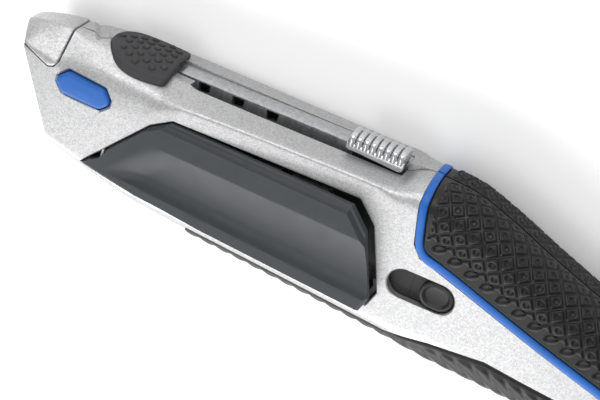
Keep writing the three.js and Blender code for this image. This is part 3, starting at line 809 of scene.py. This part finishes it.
def belly_grip():
    """The rubber keel: rows run round the belly from one edge to the other, raised in slanting leaf-like
    lobes that sink into the border."""
    xs = np.arange(-98.6, 26.6, 0.4)
    edge_y = np.interp(xs, *np.array(sorted(BELLY_EDGE)).T)
    columns = []
    for side in (1, -1):
        full = full_arc(xs, side)
        start = np.minimum(arc_at(xs, edge_y, side), full - 0.8)
        share = np.linspace(0, 0.985, 44)
        arc = start[:, None] + (full - start)[:, None] * share
        columns.append((arc * side, start, share * (full - start)[:, None]))
    a = np.concatenate([columns[0][0], columns[1][0][:, ::-1]], axis=1)
    inside = np.concatenate([columns[0][2], columns[1][2][:, ::-1]], axis=1)
    x = np.broadcast_to(xs[:, None], a.shape)
    rim = np.minimum(inside, np.minimum(26.6 - x, x + 98.6))
    wave = (x + inside * 0.9) / 4.6
    phase = wave - np.floor(wave)
    lobe = np.sin(math.pi * np.clip(phase * 1.15, 0, 1)) ** 0.7
    height = -0.2 + 0.55 * smooth(rim / 0.8) + 0.45 * lobe * smooth((rim - 1.0) / 1.6)
    top = skin(x, a, height)
    bottom = skin(x, a, -1.0)
    top[..., 2] = np.maximum(top[..., 2], -11.6)
    bottom[..., 2] = np.maximum(bottom[..., 2], -11.3)
    return new_mesh("belly_grip_fine", *slab(top, bottom))


# ------------------------------------------------------------------ controls
def arc_for_width(x, z, side):
    """Arc length from the spine's middle line to where the surface at x first stands z out."""
    chain = section(x, side)
    out = np.maximum.accumulate(np.abs(chain[..., 1]), axis=1) + np.arange(chain.shape[1]) * 1e-7
    found, _ = pick(np.dstack([arcs(chain)] * 2), out, np.abs(z))
    return found[:, 0]


def on_spine(plan, height):
    """Points over the spine at plan (..., 2) of (x, z), raised by height above the body."""
    x, z = plan[..., 0].ravel(), plan[..., 1].ravel()
    height = np.broadcast_to(height, plan.shape[:-1]).ravel()
    out = np.empty((len(x), 3))
    for side in (1, -1):
        chosen = (z >= 0) if side > 0 else (z < 0)
        if chosen.any():
            arc = arc_for_width(x[chosen], z[chosen], side) * side
            out[chosen] = skin(x[chosen], arc, height[chosen])
    return out.reshape(*plan.shape[:-1], 3)


def pad_top(x, z):
    """Height line of the pad's top: level over the far side, falling in a rising power of z towards the
    near side, with a slight drop at its front and far edge."""
    near = np.clip((z + 2.5) / 10.4, 0, 1)
    far = np.clip((-z - 4) / 4.6, 0, 1)
    front = np.clip((x - 53) / 7, 0, 1)
    return -23.75 + 3.3 * near ** 1.9 + 0.6 * far ** 2 + 0.35 * front ** 2


def thumb_rest():
    """The rubber pad: rings of its outline rise up a short wall, over a bevel and across a domed top with
    staggered oval nubs; a tunnel in its rear end clears the rail."""
    outline = even(rounded(anticlockwise(PAD), [2.5, 2.5, 3, 4, 3, 3, 3, 1.6, 1.6], 8), 0.5)
    centre = np.array([50.0, -0.4])
    inner = grow(outline, -1.2)

    def top_ring(plan, drop):
        return np.column_stack([plan[:, 0], pad_top(plan[:, 0], plan[:, 1]) + drop, plan[:, 1]])

    rings = [on_spine(grow(outline, -0.1), 0.3), on_spine(outline, 0.45)]
    for d, drop in [(0, 0.75), (0.06, 0.5), (0.25, 0.25), (0.55, 0.06), (0.75, 0.0), (0.95, 0.05),
                    (1.2, 0.16)]:
        rings.append(top_ring(grow(outline, -d), drop))
    for share in np.linspace(0.06, 0.94, 16):
        rings.append(top_ring(inner + (centre - inner) * share, 0.16 - 0.1 * share))
    base = [on_spine(inner + (centre - inner) * share, 0.3) for share in np.linspace(0.94, 0.0, 8)]
    pad = new_mesh("thumb_rest_fine", *stack(np.stack(rings + base)))
    t = np.linspace(0, 2 * math.pi, 20, endpoint=False)
    around = np.column_stack([0.98 * np.cos(t), 0.78 * np.sin(t)])
    for row, x0 in enumerate(np.arange(43.0, 59.5, 2.5)):
        for z0 in np.arange(-7.2 + 1.45 * (row % 2), 7.4, 2.9):
            if distance(x0, z0, PAD, closed=True) < 1.75 or not inside_outline(x0, z0, PAD):
                continue
            layers = [(1.0, 0.8), (1.0, 0.0), (0.86, -0.3), (0.6, -0.46), (0.3, -0.53)]
            nub = np.stack([top_ring(around * share + (x0, z0), drop) for share, drop in layers])
            carve(pad, [new_mesh("nub", *stack(nub))], "UNION")
    return carve(pad, [block("tunnel", 39, 43.4, -22.9, -19, -5.3, 0.5)])


def inside_outline(x, y, outline):
    """Whether a point lies inside a plan outline: an odd number of edges cross the line to its right."""
    crossed = False
    for (ax, ay), (bx, by) in zip(outline, outline[1:] + outline[:1]):
        if (ay > y) != (by > y) and x < ax + (y - ay) * (bx - ax) / (by - ay):
            crossed = not crossed
    return crossed


def release_button():
    """The button: an octagonal block with a flange, softly rounded shoulders and a shallow dished top."""
    ring = even(rounded(octagon(), 1.1, 6), 0.35)
    middle = ring.mean(axis=0)
    layers = [(0.5, 6.4), (0.5, 7.2), (0, 7.25), (0, 10.75), (0.08, 10.98), (0.25, 11.16), (0.5, 11.26),
              (0.9, 11.3)]
    rings = [np.column_stack([grow(ring, 0.2 if z < 7.21 else -d), np.full(len(ring), z)])
             for d, z in layers]
    inner = grow(ring, -0.9)
    for share in (0.2, 0.4, 0.6, 0.8, 0.95):
        flat = inner + (middle - inner) * share
        rings.append(np.column_stack([flat, np.full(len(ring), 11.3 + 0.1 * share)]))
    return new_mesh("release_button_fine", *stack(np.stack(rings)))


def button_spring():
    """The bowed leaf under the button: height 1 - t^2 over its length, t from -1 to 1."""
    t, y = np.meshgrid(np.linspace(-1, 1, 41), np.linspace(-2, 2, 5), indexing="ij")
    low = 4.4 + 1.2 * (1 - t * t)
    plan = [BUTTON["x"] + 5.5 * t, BUTTON["y"] + y]
    return new_mesh("button_spring_fine", *slab(np.dstack([*plan, low + 0.4]), np.dstack([*plan, low])))


def slider_knob():
    """The knob: a bar along X whose rounded cross-section swells and shrinks into thread-like ridges, each
    a half circle deep, with a smooth skirt on the near side and a stem into the slot."""
    count = bpy.context.scene.knife_sizes.ridges
    x = np.linspace(-23.6, -8.4, 40 * count + 1)
    turn = (x + 23.6) / 15.2 * count
    crest = np.sqrt(np.clip(1 - (2 * (turn - np.floor(turn)) - 1) ** 2, 0, 1))
    crest[-1] = 0
    relief = 1.05 * (1 - crest)
    t = np.linspace(0, math.pi, 33)
    height = 2.7 - relief
    half = 3.95 - relief * 0.9
    ring_z = 0.75 + half[:, None] * np.sign(np.cos(t)) * np.abs(np.cos(t)) ** 0.75
    ring_y = -22.7 - height[:, None] * np.sin(t) ** 0.75
    low_z = np.stack([ring_z[:, -1], ring_z[:, 0]], 1)
    low_y = np.column_stack([np.full(len(x), -22.5), np.full(len(x), -21.9)])
    y = np.concatenate([ring_y, low_y], 1)
    z = np.concatenate([ring_z, low_z], 1)
    rings = np.dstack([np.broadcast_to(x[:, None], y.shape), y, z])
    knob = new_mesh("slider_knob_fine", *stack(rings))
    plan = rounded(anticlockwise([(-23.8, -22.7), (-8.2, -22.6), (-8.2, -20.9), (-23.8, -20.0)]),
                   [0.3, 0.3, 0.5, 1.5], 7)
    layers = [(0.25, 3.3), (0, 3.5), (0, 4.2), (0.1, 4.3), (0.22, 4.34)]
    skirt = np.stack([np.column_stack([grow(plan, -d), np.full(len(plan), z)]) for d, z in layers])
    base = block("knob_base", -23.5, -8.5, -22.9, -21.35, -3.1, 3.9)
    stem = block("knob_stem", -23.4, -8.6, -22.3, -20, 1.25, 2.75)
    return carve(knob, [new_mesh("skirt", *stack(skirt)), base, stem], "UNION")


def detent_rail():
    """The notched rail: a bar along X whose cross-section has a polished plate leaning over the far shell
    and an upright near face, with slanting-sided notches every detent."""
    profile = [(-21.25, -5.0), (-21.3, -4.7), (-20.55, -0.95), (-20.3, -0.6), (-16.4, -0.6), (-16.4, -2.5),
               (-20.1, -2.5), (-20.35, -5.0)]
    rings = np.array([[(x, y, z) for y, z in profile] for x in (-23.9, 41.6)])
    rail = new_mesh("detent_rail_fine", *stack(rings))
    tools = []
    for i in range(2, 5):
        x = -7.4 + DETENT * i
        tools.append(prism("notch", [(x, -17), (x + 2.9, -17), (x + 3.2, -19.9), (x - 0.3, -19.9)], -3, 2))
    return carve(rail, tools)


def detent_spring():
    """The leaf on the carrier and the bent end that clicks into the rail's notches."""
    leaf = block("detent_spring_fine", -9.7, -4.4, -18.2, -17.2, 2.1, 2.5)
    return carve(leaf, [block("bent_end", -7.2, -5.4, -18.2, -17.2, 1.2, 2.2)], "UNION")


def blade_plate(name, rear, edge, middle):
    """A trapezoid blade whose thickness narrows in a ground bevel to the cutting edge."""
    long, short, high, thick = 61.0, 33.0, 19.0, 0.6
    inset = (long - short) / 2
    outline = [(rear, edge), (rear + long, edge), (rear + long - inset, edge - high),
               (rear + inset, edge - high)]
    plate = prism(name, outline, middle - thick / 2, middle + thick / 2)
    tools = []
    for along in (-5, 5):
        x = rear + long / 2 + along
        tools.append(block("notch", x - 1.5, x + 1.5, edge - high - 1, edge - high + 2.6, middle - 1,
                           middle + 1))
    for side in (1, -1):
        wedge = [(edge - 2.4, middle + side * thick / 2), (edge + 0.6, middle + side * 0.03),
                 (edge + 0.6, middle + side * 1.2), (edge - 2.4, middle + side * 1.2)]
        ring = np.array([[(x, y, z) for y, z in wedge] for x in (rear - 2, rear + long + 2)])
        tools.append(new_mesh("ground", *stack(ring)))
    return carve(plate, tools)


# ------------------------------------------------------------------ magazine door and latch
def set_ajar(thing, turn=AJAR):
    """Turns a mesh about the hinge pin, which lifts its rear end."""
    count = len(thing.data.vertices)
    flat = np.empty(count * 3)
    thing.data.vertices.foreach_get("co", flat)
    place = flat.reshape(-1, 3)
    dx = place[:, 0] - HINGE[0] * MM
    dz = place[:, 2] - (HINGE[1] + LIFT) * MM
    place[:, 0] = HINGE[0] * MM + dx * math.cos(turn) + dz * math.sin(turn)
    place[:, 2] = (HINGE[1] + LIFT) * MM - dx * math.sin(turn) + dz * math.cos(turn)
    thing.data.vertices.foreach_set("co", place.ravel())
    thing.data.update()
    return thing


def scoop(x, y, depth):
    """Depth of the door's finger hollow: two parabolas that meet at its lowest line, between a crease
    under the top border and a steep wall above the lower border, fading in at the front."""
    crease = -4.6 + 0.012 * (x - 30)
    wall = 9.6 - 0.02 * (x + 20)
    t = np.clip((y - crease) / (wall - crease), 0, 1)
    low = 0.68
    dip = np.where(t < low, 1 - (1 - t / low) ** 2, 1 - ((t - low) / (1 - low)) ** 2)
    front = (56.3 - x) * 0.733 - (8.8 - y) * 0.68
    return depth * dip * smooth((front - 3.8) / 7.5)


def inset_edges(outline, inset):
    """Moves each edge of an anticlockwise outline inwards by its own distance; edge i starts at corner i."""
    ahead = np.roll(outline, -1, axis=0) - outline
    normal = np.column_stack([ahead[:, 1], -ahead[:, 0]])
    normal /= np.linalg.norm(normal, axis=1, keepdims=True)
    pairs = np.stack([np.roll(normal, 1, axis=0), normal], axis=1)
    moves = -np.column_stack([np.roll(inset, 1), inset])
    return outline + np.linalg.solve(pairs, moves[..., None])[..., 0]


def magazine_door():
    """The door: stacked rings of its outline give the bevelled border, broad along the top and narrow
    elsewhere; a fine sheet with the hollow is intersected with them, then the hinge barrel and hook are
    joined and it is set ajar."""
    outline = np.array(DOOR[::-1])
    widths = np.array(DOOR_BORDER)
    layers = [(0, 9.9), (0, 11.05), (0.3, 11.35), (1.15, 11.45), (1.3, 11.6), (2.4, 12.25), (2.5, 12.4)]
    rings = np.stack([np.column_stack([inset_edges(outline, widths * d), np.full(len(outline), z)])
                      for d, z in layers])
    door = new_mesh("magazine_door_fine", *stack(rings))
    x, y = np.meshgrid(np.linspace(-32, 60, 240), np.linspace(-16, 16, 110), indexing="ij")
    top = np.dstack([x, y, 12.22 - scoop(x, y, 1.25)])
    bottom = np.dstack([x, y, np.full_like(x, 9.0)])
    sheet = new_mesh("sheet", *slab(top, bottom))
    carve(door, [sheet], "INTERSECT")
    carve(door, [block("barrel", 50.4, 52.6, 5.6, 8.8, 8.9, 10.5),
                 block("stem", -23.6, -22.2, 3.2, 6, 5.4, 10),
                 block("hook", -25.4, -23, 3.2, 6, 5.4, 7.2)], "UNION")
    t = np.linspace(0, 2 * math.pi, 24, endpoint=False)
    hole = np.array([np.column_stack([HINGE[0] + 0.7 * np.cos(t), np.full(24, y), HINGE[1] + 0.7 * np.sin(t)])
                     for y in (-60.0, 60.0)])
    relief_plan = [(49.6, 1.6), (50.2, 3.4), (51.5, 5.3), (53.2, 6.4), (55, 7), (57, 5)]
    relief = prism("relief", anticlockwise(relief_plan), 0, 60)
    carve(door, [new_mesh("pin_hole", *stack(hole)), relief])
    return set_ajar(door)


def latch_slider():
    """The latch's thumb piece: a round-ended button with a dished top, on a flange with a tongue."""
    x = -43.1
    ring = stadium(x, 4.2, 9.2, 7.6, 24)
    keep = np.concatenate([[True], np.linalg.norm(np.diff(ring, axis=0), axis=1) > 1e-6])
    ring = anticlockwise(ring[keep])
    layers = [(0, 8.9), (0, 11.15), (0.12, 11.4), (0.35, 11.55), (0.9, 11.6), (1.2, 11.3), (1.6, 10.9),
              (2.4, 10.75)]
    rings = np.stack([np.column_stack([grow(ring, -d), np.full(len(ring), z)]) for d, z in layers])
    slider = new_mesh("latch_slider_fine", *stack(rings))
    flange = block("flange", -50.5, -34.5, -0.4, 8.8, 8.6, 9.6)
    tongue = block("tongue", -36, -30.3, -0.2, 8.6, 9.35, 9.7)
    return carve(slider, [flange, tongue], "UNION")


def shell_screw(name, x, y):
    """A button-head screw with a hexagon socket, put in from the far side."""
    t = np.linspace(0, 2 * math.pi, 48, endpoint=False)
    around = np.column_stack([np.cos(t), np.sin(t)])
    layers = [(1.5, 5.5), (1.5, -9.9), (2.7, -9.95), (2.7, -10.8), (2.5, -11.35), (2.1, -11.65), (1.6, -11.7)]
    rings = np.stack([np.column_stack([around * r + (x, y), np.full(48, z)]) for r, z in layers])
    screw = new_mesh(name, *stack(rings))
    t = np.linspace(0, 2 * math.pi, 6, endpoint=False)
    socket = prism("socket", np.column_stack([x + 1.2 * np.cos(t), y + 1.2 * np.sin(t)]), -13.7, -10.7)
    return carve(screw, [socket])


# ------------------------------------------------------------------ sizes and colours a user would change
def colour(name, value, text):
    """A colour setting of the panel."""
    return bpy.props.FloatVectorProperty(name=name, description=text, default=value, size=3, min=0, max=1,
                                         subtype="COLOR")


class KnifeColours(bpy.types.PropertyGroup):
    """Colours of the finishes."""
    silver: colour("Body", (0.40, 0.40, 0.405), "Silver paint of the two shells and the nose cap")
    chrome: colour("Knob", (0.55, 0.56, 0.57), "Plated slider knob")
    steel: colour("Steel", (0.40, 0.41, 0.42), "Blades, rail, springs and screws")
    thumb_rest: colour("Thumb rest", (0.034, 0.034, 0.036), "Rubber pad on the spine")
    grip: colour("Grips", (0.008, 0.008, 0.0085), "Rubber of the side grips and the keel")
    trim: colour("Trim", (0.011, 0.095, 0.36), "Trim of the grips and the release button")
    door: colour("Door", (0.029, 0.033, 0.037), "Magazine door")
    inside: colour("Inside", (0.012, 0.012, 0.013), "Plastic parts inside the body")
    floor: colour("Floor", (0.9, 0.9, 0.9), "Floor under the knife")


class KnifeSizes(bpy.types.PropertyGroup):
    """Sizes of the fine shapes."""
    grip_pitch: bpy.props.FloatProperty(name="Grip pitch", description="Distance between the grip's squares",
                                        default=0.0035, min=0.002, max=0.006, unit="LENGTH", precision=4)
    grip_relief: bpy.props.FloatProperty(name="Grip relief", description="Height of the grip's squares",
                                         default=0.00055, min=0.0001, max=0.001, unit="LENGTH", precision=5)
    ridges: bpy.props.IntProperty(name="Knob ridges", description="Ridges across the slider knob",
                                  default=8, min=4, max=12)
    lens: bpy.props.FloatProperty(name="Lens", description="Focal length of the camera in millimetres",
                                  default=105.0, min=20, max=300)
    distance: bpy.props.FloatProperty(name="Camera distance", description="Camera to the knife's middle",
                                      default=0.45, min=0.2, max=2, unit="LENGTH")
    elevation: bpy.props.FloatProperty(name="Camera tilt", description="Tilt towards the spine",
                                       default=math.radians(28), subtype="ANGLE")
    swing: bpy.props.FloatProperty(name="Camera swing", description="Swing towards the handle",
                                   default=math.radians(12), subtype="ANGLE")
    roll: bpy.props.FloatProperty(name="Camera roll", description="Roll about the line of sight",
                                  default=math.radians(23), subtype="ANGLE")


# ------------------------------------------------------------------ operators
def dress(slot, *names):
    """Gives CAD nodes that need no finer shape their finish."""
    for name in names:
        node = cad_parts[name]
        for place in node.material_slots:
            place.material = material(slot)


class Shells(bpy.types.Operator):
    """Builds the two halves of the body"""
    bl_idname = "knife.shells"
    bl_label = "Body shells"

    def execute(self, context):
        finish(shell(1), "body", "silver_paint", material("silver_paint"), "near_shell")
        finish(shell(-1), "body", "silver_paint", material("silver_paint"), "far_shell")
        return {"FINISHED"}


class NoseCap(bpy.types.Operator):
    """Builds the cap over the front of the spine"""
    bl_idname = "knife.nose_cap"
    bl_label = "Nose cap"

    def execute(self, context):
        finish(nose_cap(), "body", "silver_paint", material("silver_paint"), "nose_cap")
        return {"FINISHED"}


class ThumbRest(bpy.types.Operator):
    """Builds the rubber pad and its nubs"""
    bl_idname = "knife.thumb_rest"
    bl_label = "Thumb rest"

    def execute(self, context):
        finish(thumb_rest(), "body", "grey_rubber", material("grey_rubber"), "thumb_rest")
        return {"FINISHED"}


class ReleaseButton(bpy.types.Operator):
    """Builds the blade release button and the leaf under it"""
    bl_idname = "knife.release_button"
    bl_label = "Release button"

    def execute(self, context):
        finish(release_button(), "button", "blue_plastic", material("blue_plastic"), "release_button")
        spring = finish(button_spring(), "body", "blade_steel", material("blade_steel"), "button_spring")
        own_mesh(spring)
        return {"FINISHED"}


class Slide(bpy.types.Operator):
    """Builds the knob, rail and blade and dresses the carrier"""
    bl_idname = "knife.slide"
    bl_label = "Slide and blade"

    def execute(self, context):
        steel = material("blade_steel")
        finish(slider_knob(), "slider", "chrome", material("chrome"), "slider_knob", angle=50)
        finish(detent_rail(), "body", "blade_steel", steel, "detent_rail")
        finish(blade_plate("blade_fine", 3, 7, 0), "slider", "blade_steel", steel, "blade", angle=3)
        finish(detent_spring(), "slider", "blade_steel", steel, "detent_spring")
        dress("black_plastic", "blade_carrier", "blade_guide")
        return {"FINISHED"}


class Magazine(bpy.types.Operator):
    """Builds the door and the spare blades and dresses the tray, spring and pin"""
    bl_idname = "knife.magazine"
    bl_label = "Magazine"

    def execute(self, context):
        steel = material("blade_steel")
        finish(magazine_door(), "door", "door_grey", material("door_grey"), "magazine_door", angle=20)
        for i in range(3):
            plate = blade_plate(f"spare_blade_{i + 1}_fine", -22, 9.2, 5 + 0.9 * i)
            finish(plate, "body", "blade_steel", steel, f"spare_blade_{i + 1}", angle=3)
        dress("blade_steel", "magazine_spring", "door_hinge_pin")
        dress("tray_plastic", "magazine_tray")
        return {"FINISHED"}


class Latch(bpy.types.Operator):
    """Builds the latch slider and dresses its bolt and guide"""
    bl_idname = "knife.latch"
    bl_label = "Door latch"

    def execute(self, context):
        finish(latch_slider(), "latch", "black_plastic", material("black_plastic"), "latch_slider")
        dress("blade_steel", "latch_bolt")
        dress("black_plastic", "latch_guide")
        return {"FINISHED"}


class Grips(bpy.types.Operator):
    """Builds the patterned grips, their trims and the rubber keel"""
    bl_idname = "knife.grips"
    bl_label = "Grips and trims"

    def execute(self, context):
        rubber = material("black_rubber")
        for side, name in ((1, "left"), (-1, "right")):
            finish(grip(side), "body", "black_rubber", rubber, f"{name}_grip", angle=60)
            finish(trim(side), "body", "blue_plastic", material("blue_plastic"), f"{name}_trim", angle=50)
        finish(belly_grip(), "body", "black_rubber", rubber, "belly_grip", angle=60)
        return {"FINISHED"}


class Screws(bpy.types.Operator):
    """Builds the three shell screws"""
    bl_idname = "knife.screws"
    bl_label = "Shell screws"

    def execute(self, context):
        for name, (x, y) in zip(("front", "middle", "rear"), SCREWS):
            screw = shell_screw(f"shell_screw_{name}_fine", x, y)
            finish(screw, "body", "blade_steel", material("blade_steel"), f"shell_screw_{name}")
        return {"FINISHED"}


def area_light(name, place, aim, size, power, tint=(1, 1, 1)):
    """A soft square light in metres, pointed from its place at its aim."""
    lamp = bpy.data.lights.new(name, "AREA")
    lamp.shape = "RECTANGLE"
    lamp.size, lamp.size_y = size
    lamp.energy = power
    lamp.color = tint
    thing = bpy.data.objects.new(name, lamp)
    bpy.context.scene.collection.objects.link(thing)
    thing.location = place
    thing.rotation_euler = (Vector(aim) - Vector(place)).to_track_quat("-Z", "Y").to_euler()
    return thing


class Stage(bpy.types.Operator):
    """Builds the floor, the lights, the surroundings and the camera"""
    bl_idname = "knife.stage"
    bl_label = "Stage and camera"

    def execute(self, context):
        scene = bpy.context.scene
        sizes, colours = scene.knife_sizes, scene.knife_colours
        floor = bpy.data.meshes.new("floor")
        floor.from_pydata([(-3, -3, 0), (3, -3, 0), (3, 3, 0), (-3, 3, 0)], [], [(0, 1, 2, 3)])
        floor = bpy.data.objects.new("floor", floor)
        scene.collection.objects.link(floor)
        pale = bpy.data.materials.new("pale_floor")
        pale.use_nodes = True
        pale.node_tree.nodes["Principled BSDF"].inputs["Base Color"].default_value = (*colours.floor, 1)
        pale.node_tree.nodes["Principled BSDF"].inputs["Roughness"].default_value = 0.9
        pale.node_tree.nodes["Principled BSDF"].inputs["Specular IOR Level"].default_value = 0.1
        floor.data.materials.append(pale)
        world = bpy.data.worlds.new("surroundings")
        world.use_nodes = True
        world.node_tree.nodes["Background"].inputs["Color"].default_value = (1, 1, 1, 1)
        world.node_tree.nodes["Background"].inputs["Strength"].default_value = 0.6
        scene.world = world
        scene.view_settings.view_transform = "Standard"
        lights = [
            area_light("belly_box", (0.1, 0.95, 0.6), (0, 0, 0), (1.5, 0.8), 20),
            area_light("spine_box", (0.1, -1.0, 0.6), (0, 0, 0.01), (1.5, 0.6), 9),
            area_light("top_box", (0.2, 0.2, 1.2), (0, 0, 0), (0.8, 0.4), 3),
        ]
        tilt, swing, roll = sizes.elevation, sizes.swing, sizes.roll
        right, up, out = (np.array(v, float) for v in ((-1, 0, 0), (0, -1, 0), (0, 0, 1)))
        back = out * math.cos(tilt) + up * math.sin(tilt)
        up = up * math.cos(tilt) - out * math.sin(tilt)
        back, right = (back * math.cos(swing) + right * math.sin(swing),
                       right * math.cos(swing) - back * math.sin(swing))
        right, up = (right * math.cos(roll) + up * math.sin(roll),
                     up * math.cos(roll) - right * math.sin(roll))
        camera = bpy.data.objects.new("camera", bpy.data.cameras.new("camera"))
        scene.collection.objects.link(camera)
        camera.data.lens = sizes.lens
        camera.data.sensor_width = 36
        camera.data.clip_start = 0.01
        place = np.array([0, 0, LIFT * MM]) + back * sizes.distance
        basis = np.eye(4)
        basis[:3, 0], basis[:3, 1], basis[:3, 2], basis[:3, 3] = right, up, back, place
        camera.matrix_world = Matrix(basis.tolist())
        scene.camera = camera
        return {"FINISHED"}


OPERATORS = (Shells, NoseCap, ThumbRest, ReleaseButton, Slide, Magazine, Latch, Grips, Screws, Stage)


class KnifePanel(bpy.types.Panel):
    """Lists the knife's settings and its pieces."""
    bl_idname = "KNIFE_PT_pieces"
    bl_label = "Utility knife"
    bl_space_type = "VIEW_3D"
    bl_region_type = "UI"
    bl_category = "Knife"

    def draw(self, context):
        for group in (context.scene.knife_colours, context.scene.knife_sizes):
            for key in group.__annotations__:
                self.layout.prop(group, key)
        for operator in OPERATORS:
            self.layout.operator(operator.bl_idname)


CLASSES = (KnifeColours, KnifeSizes, *OPERATORS, KnifePanel)


def register():
    for item in CLASSES:
        bpy.utils.register_class(item)
    bpy.types.Scene.knife_colours = bpy.props.PointerProperty(type=KnifeColours)
    bpy.types.Scene.knife_sizes = bpy.props.PointerProperty(type=KnifeSizes)


def unregister():
    del bpy.types.Scene.knife_sizes
    del bpy.types.Scene.knife_colours
    for item in reversed(CLASSES):
        bpy.utils.unregister_class(item)


def main():
    register()
    for operator in OPERATORS:
        group, name = operator.bl_idname.split(".")
        getattr(getattr(bpy.ops, group), name)()


if __name__ == "__main__":
    main()
